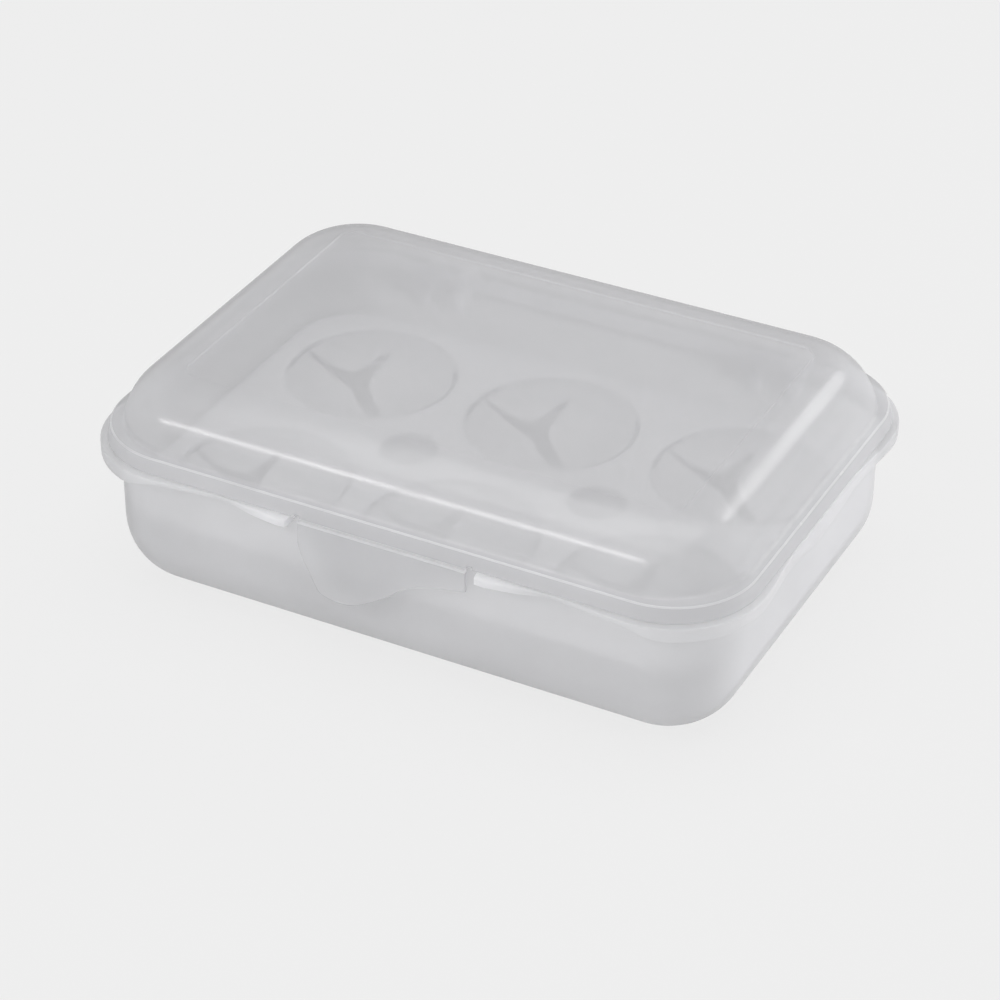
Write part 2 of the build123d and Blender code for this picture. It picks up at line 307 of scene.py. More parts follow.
@dataclass
class Stations:
    """Where the points of every ring lie, so that neighbouring rings match point by point."""

    long_stops: np.ndarray
    short_stops: np.ndarray
    corner_steps: int = 18
    held_long: float = 0.060
    held_short: float = 0.034

    @staticmethod
    def stretch(stops: np.ndarray, half: np.ndarray, held: float) -> np.ndarray:
        """Fits stops to a side: near its middle they stay in place, and further out they spread.

        Args:
            stops: Places along the reference side.
            half: Half of each side's straight length, as a column.
            held: How far from the middle a stop stays in place on a side that is long enough.

        Returns:
            The stops on each side, one row for each.
        """
        end = stops.max()
        beyond = held + (np.abs(stops) - held) * (half - held) / (end - held)
        kept = np.where(np.abs(stops) <= held, stops, np.sign(stops) * beyond)
        share = smooth(half, held, end)
        return share * kept + (1 - share) * stops * half / end

    def rings(self, rows: np.ndarray) -> np.ndarray:
        """Points of rounded rectangles: four straight sides, and a quarter circle after each.

        Args:
            rows: Half length, half depth, corner radius and height of each.

        Returns:
            An array of rings by points by three coordinates.
        """
        half_x, half_y, corner, z = (column[:, None] for column in rows.T)
        end_x, end_y = half_x - corner, half_y - corner
        turn = np.arange(self.corner_steps) / self.corner_steps * math.pi / 2
        parts = []
        for side, (sign_x, sign_y) in enumerate(((1, -1), (1, 1), (-1, 1), (-1, -1))):
            a = (side - 1) * math.pi / 2
            if side % 2 == 0:
                along = self.stretch(self.long_stops, end_x, self.held_long)[:, :-1]
                away = half_y
            else:
                along = self.stretch(self.short_stops, end_y, self.held_short)[:, :-1]
                away = half_x
            cos, sin = round(math.cos(a)), round(math.sin(a))
            parts.append(np.stack([cos * away - sin * along, sin * away + cos * along], axis=-1))
            corner_x = sign_x * end_x + corner * np.cos(a + turn)
            corner_y = sign_y * end_y + corner * np.sin(a + turn)
            parts.append(np.stack([corner_x, corner_y], axis=-1))
        flat = np.concatenate(parts, axis=1)
        height = np.broadcast_to(z[:, :, None], (*flat.shape[:2], 1))
        return np.concatenate([flat, height], axis=-1)

    def facing(self, reference: Outline) -> np.ndarray:
        """The outward direction in plan at each station.

        Args:
            reference: Any outline with round corners.

        Returns:
            One row of two numbers for each station.
        """
        near, far = (self.rings(reference.offset(out, 0.0))[0, :, :2] for out in (0.0, 0.001))
        away = far - near
        return away / np.linalg.norm(away, axis=1)[:, None]


def close_shell(name: str, rings: np.ndarray, crease: float = CREASE) -> bpy.types.Object:
    """Skins rings of points from the first to the last, both of which close in the middle.

    Args:
        name: The piece's name.
        rings: An array of rings by points by three coordinates.
        crease: As piece takes it.

    Returns:
        The object.
    """
    return piece(name, rings, quads(numbers(rings), around=True), crease)


def fine_stops(end: float, step: float, marks: tuple[float, ...]) -> np.ndarray:
    """Even places from -end to end, with a close pair on each side of every mark.

    Args:
        end: The last place.
        step: The spacing.
        marks: Distances from the middle where something starts or stops.

    Returns:
        The places in order.
    """
    even = np.linspace(0, end, round(end / step) + 1)
    close = np.array([m + s * STOP_PAIR for m in marks for s in (-1, 1)])
    if len(close):
        even = even[np.min(np.abs(even[:, None] - close[None, :]), axis=1) > step * 0.3]
        even = np.union1d(even, [0.0, end])
    half = np.union1d(even, close)
    return np.concatenate([-half[:0:-1], half])


# ---- finishes -------------------------------------------------------------------------


class NodeMaker:
    """Adds shader nodes to one material or world and joins them up."""

    def __init__(self, owner: bpy.types.Material | bpy.types.World) -> None:
        """Starts on the owner's node tree, emptied.

        Args:
            owner: The material or world.
        """
        owner.use_nodes = True
        self.tree = owner.node_tree
        self.tree.nodes.clear()

    def add(self, kind: str, inputs: dict, out: int | str = 0, **choices: str) -> Socket:
        """Adds a node, makes its choices and fills its sockets.

        Args:
            kind: The node's type, without the word ShaderNode.
            inputs: For each socket a plain value, or another node's output to link.
            out: Which of its outputs is wanted.
            choices: The node's own settings, such as its operation.

        Returns:
            The output.
        """
        node = self.tree.nodes.new(f"ShaderNode{kind}")
        for name, choice in choices.items():
            setattr(node, name, choice)
        for name, value in inputs.items():
            if isinstance(value, Socket):
                self.tree.links.new(value, node.inputs[name])
            else:
                node.inputs[name].default_value = value
        return node.outputs[out]

    def place(self) -> Socket:
        """The object's own coordinates."""
        return self.add("TexCoord", {}, "Object")

    def sum(self, operation: str, *values: Socket | float) -> Socket:
        """A sum of up to three values, named as Blender's Math node names it."""
        return self.add("Math", dict(enumerate(values)), operation=operation)

    def mix(self, share: Socket | float, first: Socket, second: Socket) -> Socket:
        """A mix of two shaders, where share is the second one's."""
        return self.add("MixShader", {0: share, 1: first, 2: second})

    def fit(self, source: Socket, start: tuple[float, float], end: tuple[float, float]) -> Socket:
        """Moves a value evenly from one range to another, and holds it beyond both ends.

        Args:
            source: The value.
            start: The range that it comes from.
            end: The range that it goes to, which may run downwards.

        Returns:
            The fitted value.
        """
        names = ("From Min", "From Max", "To Min", "To Max")
        return self.add("MapRange", {**dict(zip(names, (*start, *end))), "Value": source})

    def finish(self, kind: str, shader: Socket) -> None:
        """Leads a shader to the tree's output node, OutputMaterial or OutputWorld."""
        self.tree.links.new(shader, self.tree.nodes.new(f"ShaderNode{kind}").inputs["Surface"])


@dataclass(frozen=True)
class Pattern:
    """Noise on an object's own coordinates.

    Stretch is its scale along X against 1 along Y and Z, scale is how many bumps there
    are to a metre, and detail is how much finer noise is laid over it.
    """

    stretch: float
    scale: float
    detail: float

    def build(self, maker: NodeMaker) -> Socket:
        """Makes the pattern, whose values lie about a middle of 0.5."""
        fitted = maker.add("Mapping", {"Scale": (self.stretch, 1.0, 1.0), "Vector": maker.place()})
        return maker.add("TexNoise", {"Scale": self.scale, "Detail": self.detail, "Vector": fitted}, "Fac")


@dataclass(frozen=True)
class FrostedPlastic:
    """Milky polypropylene: hazy, part see-through, with flow clouds and a fine grain.

    Opacity is how milky it is where the fade ends, and low_opacity where it starts. Glow
    is the share of its milk that lets light through, mirror what its skin mirrors face
    on, and lift the strength of a painted glow: an emission that stands in for light
    scattered inside the plastic and bounced up from the floor, strongest at the low end
    of its fade.
    """

    name: str
    tint: tuple[float, float, float]
    opacity: float
    roughness: float
    cloud_depth: float
    streak_depth: float = 0.05
    grain_height: float = 0.000003
    wave_height: float = 0.00006
    milk_roughness: float = 0.6
    glow: float = 0.50
    clear_tint: float = 0.92
    low_opacity: float | None = None
    fade: tuple[float, float] = (0.0500, 0.0640)
    fade_axis: str = "Z"
    mirror: float = 0.04
    edge_mirror: float = 0.12
    # lift and its fade give a painted glow, an emission that brightens the plastic low down
    lift: float = 0.0
    painted_glow_fade: tuple[float, float] = (0.0020, 0.0220)
    clouds: Pattern = Pattern(1.0, 28.0, 3.0)
    streaks: Pattern = Pattern(0.12, 260.0, 4.0)
    grain: Pattern = Pattern(1.0, 1900.0, 2.0)
    wave: Pattern = Pattern(0.35, 75.0, 1.0)
    streak_range: tuple[float, float] = (0.3, 0.7)

    def build(self) -> bpy.types.Material:
        """Makes the material.

        Clouds of a few centimetres tint the plastic. Long streaks along X, left by the
        flow in the mould, change its gloss. A grain of half a millimetre and a slow wave
        roughen the surface.

        Returns:
            The material.
        """
        made = bpy.data.materials.new(self.name)
        maker = NodeMaker(made)
        low = [c * (1 - self.cloud_depth) for c in self.tint]
        high = [min(c * (1 + self.cloud_depth), 1.0) for c in self.tint]
        clouds = {"A": (*low, 1), "B": (*high, 1), "Factor": self.clouds.build(maker)}
        tint = maker.add("Mix", clouds, "Result", data_type="RGBA")
        matt = {"Base Color": tint, "Specular IOR Level": 0.0, "Roughness": self.milk_roughness}
        passing = maker.add("BsdfTranslucent", {"Color": tint})
        milk = maker.mix(self.glow, maker.add("BsdfPrincipled", matt), passing)
        clear = maker.add("BsdfTransparent", {"Color": (*[self.clear_tint] * 3, 1)})
        inside = maker.mix(self.haze(maker), clear, milk)
        normal = self.relief(maker)
        blur = (self.roughness - self.streak_depth, self.roughness + self.streak_depth)
        blur = maker.fit(self.streaks.build(maker), self.streak_range, blur)
        gloss = maker.add("BsdfGlossy", {"Normal": normal, "Roughness": blur})
        skin = maker.mix(self.grazing(maker, normal), inside, gloss)
        # a lift adds the painted glow over the skin
        maker.finish("OutputMaterial", self.with_painted_glow(maker, skin) if self.lift else skin)
        return made

    def relief(self, maker: NodeMaker) -> Socket:
        """The surface's normal: the slow wave on top of the grain.

        Args:
            maker: The material's maker.

        Returns:
            The normal.
        """
        rough = {"Strength": 1.0, "Distance": self.grain_height, "Height": self.grain.build(maker)}
        wavy = {"Strength": 1.0, "Distance": self.wave_height, "Height": self.wave.build(maker)}
        return maker.add("Bump", {**wavy, "Normal": maker.add("Bump", rough)})

    def haze(self, maker: NodeMaker) -> Socket | float:
        """How milky the plastic is: the same everywhere, or changing with the size of a coordinate.

        Args:
            maker: The material's maker.

        Returns:
            The share of milk.
        """
        if self.low_opacity is None:
            return self.opacity
        along = maker.add("SeparateXYZ", {0: maker.place()}, self.fade_axis)
        return maker.fit(maker.sum("ABSOLUTE", along), self.fade, (self.low_opacity, self.opacity))

    def grazing(self, maker: NodeMaker, normal: Socket) -> Socket:
        """How much the skin mirrors: mirror + edge_mirror * facing^5, with facing 1 edge on."""
        facing = maker.add("LayerWeight", {"Blend": 0.5, "Normal": normal}, "Facing")
        return maker.sum("MULTIPLY_ADD", maker.sum("POWER", facing, 5.0), self.edge_mirror, self.mirror)

    def with_painted_glow(self, maker: NodeMaker, skin: Socket) -> Socket:
        """The skin with a painted glow added, an emission that stands in for scattered and floor-bounced
        light, more so low down.

        Args:
            maker: The material's maker.
            skin: The finished shader.

        Returns:
            The sum of both.
        """
        height = maker.add("SeparateXYZ", {0: maker.place()}, "Z")
        strength = maker.fit(height, self.painted_glow_fade, (self.lift, 0.0))
        # the painted glow: an emission in the plastic's tint, though the plastic is no lamp
        light = maker.add("Emission", {"Color": (*self.tint, 1), "Strength": strength})
        return maker.add("AddShader", {0: skin, 1: light})


@dataclass
class Finishes:
    """The finishes of the box: one for each slot of the record, and three for parts of a piece."""

    # the tub gets a faint painted glow low down, in place of light bounced up from the floor
    tub: FrostedPlastic = FrostedPlastic("tub_frosted", (0.93, 0.93, 0.945), 0.45, 0.42, 0.06, lift=0.014)
    lid: FrostedPlastic = FrostedPlastic(
        "lid_clearer", (0.84, 0.84, 0.854), 0.30, 0.17, 0.045, low_opacity=0.34, clear_tint=0.955
    )
    tray: FrostedPlastic = FrostedPlastic("tray_frosted", (0.93, 0.93, 0.94), 0.78, 0.36, 0.03, glow=0.30)
    # the petals and the feet get a painted glow below the plate, in place of light scattered through the tray
    petal: FrostedPlastic = FrostedPlastic(
        "tray_petals", (0.94, 0.94, 0.95), 0.46, 0.36, 0.03, glow=0.30, lift=0.040, painted_glow_fade=(0.0210, 0.0264)
    )
    # the ends of the ledges beside the latch are thicker and milkier, and their extra milk also paints the
    # bright highlight on their tops
    ledge: FrostedPlastic = FrostedPlastic(
        "tub_ledge_ends", (0.94, 0.94, 0.955), 0.45, 0.38, 0.05,
        low_opacity=0.72, fade=(0.0340, 0.0470), fade_axis="X", mirror=0.045,
    )
    # the lip's upper edge and the latch's film take a lighter, milkier copy of the lid's plastic with more
    # mirror: a painted glint over their real gloss
    edge: FrostedPlastic = FrostedPlastic("lid_edges", (0.90, 0.90, 0.914), 0.46, 0.24, 0.02, mirror=0.075)
    materials: dict[str, bpy.types.Material] = field(default_factory=dict)

    def build(self) -> None:
        """Makes every material."""
        for finish in (self.tub, self.lid, self.tray, self.petal, self.ledge, self.edge):
            self.materials[finish.name] = finish.build()

    def dress(self, made: bpy.types.Object, slot: Slot) -> None:
        """Gives a piece the material of one of the record's slots.

        Args:
            made: The piece.
            slot: The record's slot that it takes its finish from.
        """
        finish = {Slot.TUB: self.tub, Slot.LID: self.lid, Slot.TRAY: self.tray}[slot]
        made.data.materials.append(self.materials[finish.name])

    def dress_part(self, made: bpy.types.Object, finish: FrostedPlastic, chosen: np.ndarray) -> None:
        """Gives some faces of a dressed piece a finish of their own.

        Args:
            made: The piece.
            finish: One of the finishes for parts.
            chosen: True for each of those faces.
        """
        made.data.materials.append(self.materials[finish.name])
        made.data.polygons.foreach_set("material_index", chosen.astype(np.int32))


# ---- hinge forms ----------------------------------------------------------------------


@dataclass(frozen=True)
class HingeForm:
    """A solid about the lid's hinge axis: outlines in the YZ plane, read as radius by angle."""

    axis_y: float
    axis_z: float
    steps: int = 96

    def reach(self, corners: list, barrel: float) -> np.ndarray:
        """How far an outline lies from the axis at each angle.

        The outline is the union of a circle about the axis and a straight-sided shape:
        along each direction the further of the two counts.

        Args:
            corners: The shape's corners in order, in Y and Z, seen as one loop round the axis.
            barrel: The circle's radius.

        Returns:
            The distance at each of the evenly spread angles.
        """
        a = self.angles()
        ray = np.stack([np.cos(a), np.sin(a)], axis=1)
        loop = np.array(corners, float) - (self.axis_y, self.axis_z)
        ends = np.roll(loop, -1, axis=0)
        side = ends - loop
        cross = ray[:, None, 0] * side[None, :, 1] - ray[:, None, 1] * side[None, :, 0]
        safe = np.where(np.abs(cross) < 1e-12, 1e-12, cross)
        far = (loop[None, :, 0] * side[None, :, 1] - loop[None, :, 1] * side[None, :, 0]) / safe
        share = (loop[None, :, 0] * ray[:, None, 1] - loop[None, :, 1] * ray[:, None, 0]) / safe
        hit = (share >= -1e-9) & (share <= 1 + 1e-9) & (far > 0) & (np.abs(cross) > 1e-12)
        return np.maximum(np.where(hit, far, 0).max(axis=1), barrel)

    def angles(self) -> np.ndarray:
        """Evenly spread angles round the axis."""
        return np.arange(self.steps) * 2 * math.pi / self.steps

    def rings(self, places: list[tuple[float, np.ndarray | float]]) -> np.ndarray:
        """Rings about the axis: (x, axis_y + r cos a, axis_z + r sin a).

        Args:
            places: The X and the radius, or radius by angle, of each ring.

        Returns:
            An array of rings by points by three coordinates.
        """
        a = self.angles()
        x = np.array([place for place, _ in places])[:, None] + 0 * a
        r = np.array([np.broadcast_to(radius, a.shape) for _, radius in places])
        return np.stack([x, self.axis_y + r * np.cos(a), self.axis_z + r * np.sin(a)], axis=-1)


# ---- base tub -------------------------------------------------------------------------


@dataclass
class BaseTub:
    """The tub: a rounded bowl whose wall rises inside the lid, with a rim that waves round it."""

    wall_line: Outline = Outline(0.0944, 0.0651, 0.0217)
    wall: float = 0.0013
    floor: float = 0.0015
    floor_steps: int = 10
    round_outside: float = 0.0195
    round_steps: int = 22
    height: float = 0.0480
    top_soft: float = 0.00045
    inside_top: float = 0.0030
    rim_top: float = 0.0447
    under_rim: float = 0.0045
    above_rim: tuple[float, float] = (0.0001, 0.0004)
    rim_thickness: float = 0.0012
    ledge_thickness: float = 0.0022
    side_overhang: float = 0.0037
    corner_overhang: float = 0.0056
    ledge_overhang: float = 0.0065
    recess_overhang: float = 0.0023
    recess_half: float = 0.0284
    ledge_round: float = 0.0016
    ledge_far: float = 0.0492
    ledge_ramp: float = 0.0120
    ledge_soft: float = 0.0010
    rim_soft: float = 0.0004
    fillet: float = 0.0010
    # how far the small cuts along the skirt's edges reach
    nicks: tuple[float, float, float] = (0.00008, 0.0002, 0.0003)
    top_inside: tuple[float, float] = (0.0012, 0.0005)
    # the milky ends of the ledges, whose milk also paints their bright tops: from and to in |X|, in front of
    # a Y and above a Z
    milky_x: tuple[float, float] = (0.0282, 0.0474)
    milky_y: float = -0.0670
    milky_z: float = 0.0390
    swell_x: tuple[float, float] = (0.0492, 0.0712)
    swell_y: tuple[float, float] = (0.0199, 0.0419)
    skirt_wall: float = 0.0010
    corner_drop: float = 0.0041
    grip_drop: float = 0.0067
    grip_neck_drop: float = 0.0034
    grip_half: float = 0.0360
    skirt_x: tuple[float, float] = (0.0680, 0.0820)
    hinge: HingeForm = HingeForm(HINGE_Y, HINGE_Z)
    hinge_x: float = 0.0550
    cheek_gap: float = 0.0048
    cheek_thickness: float = 0.0024
    cheek_radius: float = 0.0034
    cheek_root: float = 0.0110
    cheek_soft: float = 0.0003
    bore: float = 0.00156
    bore_nick: float = 0.0002

    def stations(self) -> Stations:
        """Stops close together where the recess and the ledges end."""
        ends = (self.recess_half, self.recess_half + self.ledge_round * 0.25)
        long_end = self.wall_line.half_x - self.wall_line.corner
        short_end = self.wall_line.half_y - self.wall_line.corner
        return Stations(fine_stops(long_end, STOP_STEP, ends), fine_stops(short_end, STOP_STEP, ()))

    def overhang(self, x: np.ndarray, y: np.ndarray, front: np.ndarray) -> np.ndarray:
        """How far the rim stands out from the wall at each station.

        It swells from the sides to the corners along ramps that are the mean of an S and a
        straight line. In front it also rises towards the latch on each side, as a ledge
        with a round end, and then drops to the narrow strip behind the flap.

        Args:
            x: Each station's X.
            y: Each station's Y.
            front: True for the stations of the front side.

        Returns:
            The overhang at each station.
        """
        far_x, far_y = np.abs(x), np.abs(y)
        on_long = far_y >= self.wall_line.half_y - 1e-5
        on_short = far_x >= self.wall_line.half_x - 1e-5
        ramps = []
        for far, (low, high) in ((far_x, self.swell_x), (far_y, self.swell_y)):
            ramps.append((smooth(far, low, high) + np.clip((far - low) / (high - low), 0, 1)) / 2)
        ramp = np.where(on_long, ramps[0], np.where(on_short, ramps[1], 1.0))
        out = self.side_overhang + (self.corner_overhang - self.side_overhang) * ramp
        rise = np.clip((self.ledge_far - far_x) / (self.ledge_far - self.recess_half), 0, 1)
        ledge = self.side_overhang + (self.ledge_overhang - self.side_overhang) * rise
        dip = np.clip(self.recess_half + self.ledge_round - far_x, 0, self.ledge_round)
        ledge = ledge - self.ledge_round + np.sqrt(self.ledge_round**2 - dip**2)
        ledge = np.where(far_x < self.recess_half, self.recess_overhang, ledge)
        return np.where(front, np.where(far_x < self.ledge_far, ledge, out), out)

    def drop(self, x: np.ndarray, y: np.ndarray) -> np.ndarray:
        """How far the rim's outer edge reaches below its top at each station.

        Along the front it is the bare flange, and along the back a shallow skirt. Round
        the corners the skirt is deeper. It rises a little beside each grip and dips in a
        cosine wave to the grip's middle at both ends.

        Args:
            x: Each station's X on the rim's edge.
            y: Its Y.

        Returns:
            The drop at each station.
        """
        far = np.abs(y)
        wave = 0.5 + 0.5 * np.cos(np.pi * np.clip(far / self.grip_half, 0, 1))
        neck = smooth(far, self.grip_half, self.wall_line.half_y)
        end = self.grip_neck_drop + (self.grip_drop - self.grip_neck_drop) * wave
        end = end + (self.corner_drop - self.grip_neck_drop) * neck
        share = smooth(np.abs(x), *self.skirt_x)
        bare = np.where(y > 0, self.grip_neck_drop, self.rim_thickness)
        return bare + (end - bare) * share

    def shell(self) -> bpy.types.Object:
        """The bowl with its rim: one profile carried round the wall's outline.

        The profile runs from the middle of the underside out and up the wall, round the
        rim, over the wall's top edge and down inside to the middle of the floor. Only the
        rim's part depends on the station, through overhang and drop.

        Returns:
            The piece.
        """
        line, stations = self.wall_line, self.stations()
        outer, soft = self.round_outside, self.top_soft
        inner = outer - self.wall
        foot = line.grown(-outer)
        low = arc((-outer, outer), outer, -90, 0, self.round_steps)
        lower = np.vstack([
            foot.to_middle(0.0, self.floor_steps)[::-1],
            line.offset(*low.T),
            line.offset(0.0, np.linspace(outer, self.rim_top - self.under_rim, 14)[1:]),
        ])
        top_out = arc((-soft, self.height - soft), soft, 0, 90, 5)
        top_in = arc((soft - self.wall, self.height - soft), soft, 90, 180, 5)
        bowl = arc((-outer, self.floor + inner), inner, 0, -90, self.round_steps)
        upper = np.vstack([
            line.offset(0.0, self.rim_top + np.array(self.above_rim)),
            line.offset(0.0, np.linspace(self.rim_top + 2 * self.above_rim[1], self.height - 2 * soft, 4)),
            line.offset(*top_out.T),
            line.offset(*top_in.T),
            line.offset(-self.wall, np.linspace(self.height - self.inside_top, self.floor + inner, 16)[:-1]),
            line.offset(*bowl.T),
            foot.to_middle(self.floor, self.floor_steps),
        ])
        rings = np.vstack([stations.rings(lower), self.rim(stations), stations.rings(upper)])
        return close_shell("tub_shell", rings)

    def rim(self, stations: Stations) -> np.ndarray:
        """The rim's rings: each point is its station on the wall plus its facing times a reach.

        Args:
            stations: Where the points of every ring lie.

        Returns:
            An array of rings by points by three coordinates.
        """
        wall = stations.rings(self.wall_line.offset(0.0, 0.0))[0, :, :2]
        facing = stations.facing(self.wall_line)
        front = wall[:, 1] <= -self.wall_line.half_y + 1e-6
        out = self.overhang(wall[:, 0], wall[:, 1], front)
        edge = wall + facing * out[:, None]
        drop = self.drop(edge[:, 0], edge[:, 1])
        far = np.abs(wall[:, 0])
        ledge = front & (far > self.recess_half) & (far < self.ledge_far)
        deep = np.where(ledge, smooth(far, self.ledge_far, self.ledge_far - self.ledge_ramp), 0)
        under = self.rim_thickness + (self.ledge_thickness - self.rim_thickness) * deep
        drop = np.maximum(drop, under)
        top, soft = self.rim_top, self.rim_soft + (self.ledge_soft - self.rim_soft) * deep
        lowest, inside = top - drop, out - self.skirt_wall
        underside = top - under
        tiny, near, wide = self.nicks
        rows = [(self.fillet * x, underside - self.fillet * z) for x, z in quarter(5)]
        rows += [
            (inside - wide, underside),
            (inside, np.minimum(underside - near, np.maximum(lowest, underside - wide))),
            (inside, np.minimum(lowest + near, underside)),
            (inside + near, lowest),
            (out - wide, lowest),
            (out - tiny, lowest + tiny),
            (out, lowest + wide),
        ]
        rows += [(out - soft * x, top - soft * z) for x, z in quarter(5)]
        rows += [(np.minimum(out - soft - near, self.top_inside[0]), top), (self.top_inside[1], top)]
        made = []
        for reach, z in rows:
            flat = wall + facing * np.broadcast_to(reach, far.shape)[:, None]
            made.append(np.column_stack([flat, np.broadcast_to(z, far.shape)]))
        return np.array(made)

    def cheek(self, name: str, start: float, end: float) -> bpy.types.Object:
        """One hinge cheek: a rounded plate on the back of the rim, with a bore for the pin.

        Args:
            name: The piece's name.
            start: The X of its face by the knuckle.
            end: The X of its other face.

        Returns:
            The piece.
        """
        root = self.wall_line.half_y - self.wall / 2
        corners = [
            (self.hinge.axis_y, self.rim_top),
            (root, self.rim_top),
            (root, self.rim_top - self.cheek_root),
            (self.hinge.axis_y, self.hinge.axis_z - self.cheek_radius),
        ]
        outline = self.hinge.reach(corners, self.cheek_radius)
        turn = quarter(3) * self.cheek_soft
        half, nick = abs(end - start) / 2, self.bore_nick
        places = [(half - z, outline - x) for x, z in turn]
        places += [(half, self.bore + nick), (half - nick, self.bore)]
        loop = [(-x, radius) for x, radius in places[::-1]] + places
        loop.append(loop[0])
        rings = self.hinge.rings([((start + end) / 2 + x, radius) for x, radius in loop])
        return close_shell(name, rings, HINGE_CREASE)

    def ledge_ends(self, mesh: bpy.types.Mesh) -> np.ndarray:
        """Which faces lie on the ledges in front, beside the latch's recess.

        Args:
            mesh: The shell's mesh.

        Returns:
            True for each such face.
        """
        x, y, z = per_face(mesh, "center").T
        beside = (np.abs(x) > self.milky_x[0]) & (np.abs(x) < self.milky_x[1])
        return beside & (y < self.milky_y) & (z > self.milky_z)

    def build(self, finishes: Finishes) -> None:
        """Makes the tub's pieces, dresses them and rides them on the tub.

        Args:
            finishes: The finishes of the box.
        """
        shell = self.shell()
        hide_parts("base_tub")
        made = [shell]
        for side, word in ((-1, "left"), (1, "right")):
            for way, where in ((-1, "a"), (1, "b")):
                start = side * self.hinge_x + way * self.cheek_gap
                name = f"hinge_cheek_{word}_{where}"
                made.append(self.cheek(name, start, start + way * self.cheek_thickness))
        for each in made:
            finishes.dress(each, Slot.TUB)
            if each is shell:
                # the ledge ends take the milkier finish, which also paints the highlight on their tops
                finishes.dress_part(shell, finishes.ledge, self.ledge_ends(shell.data))
            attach(each, Body.TUB.value)


# ---- flip lid -------------------------------------------------------------------------


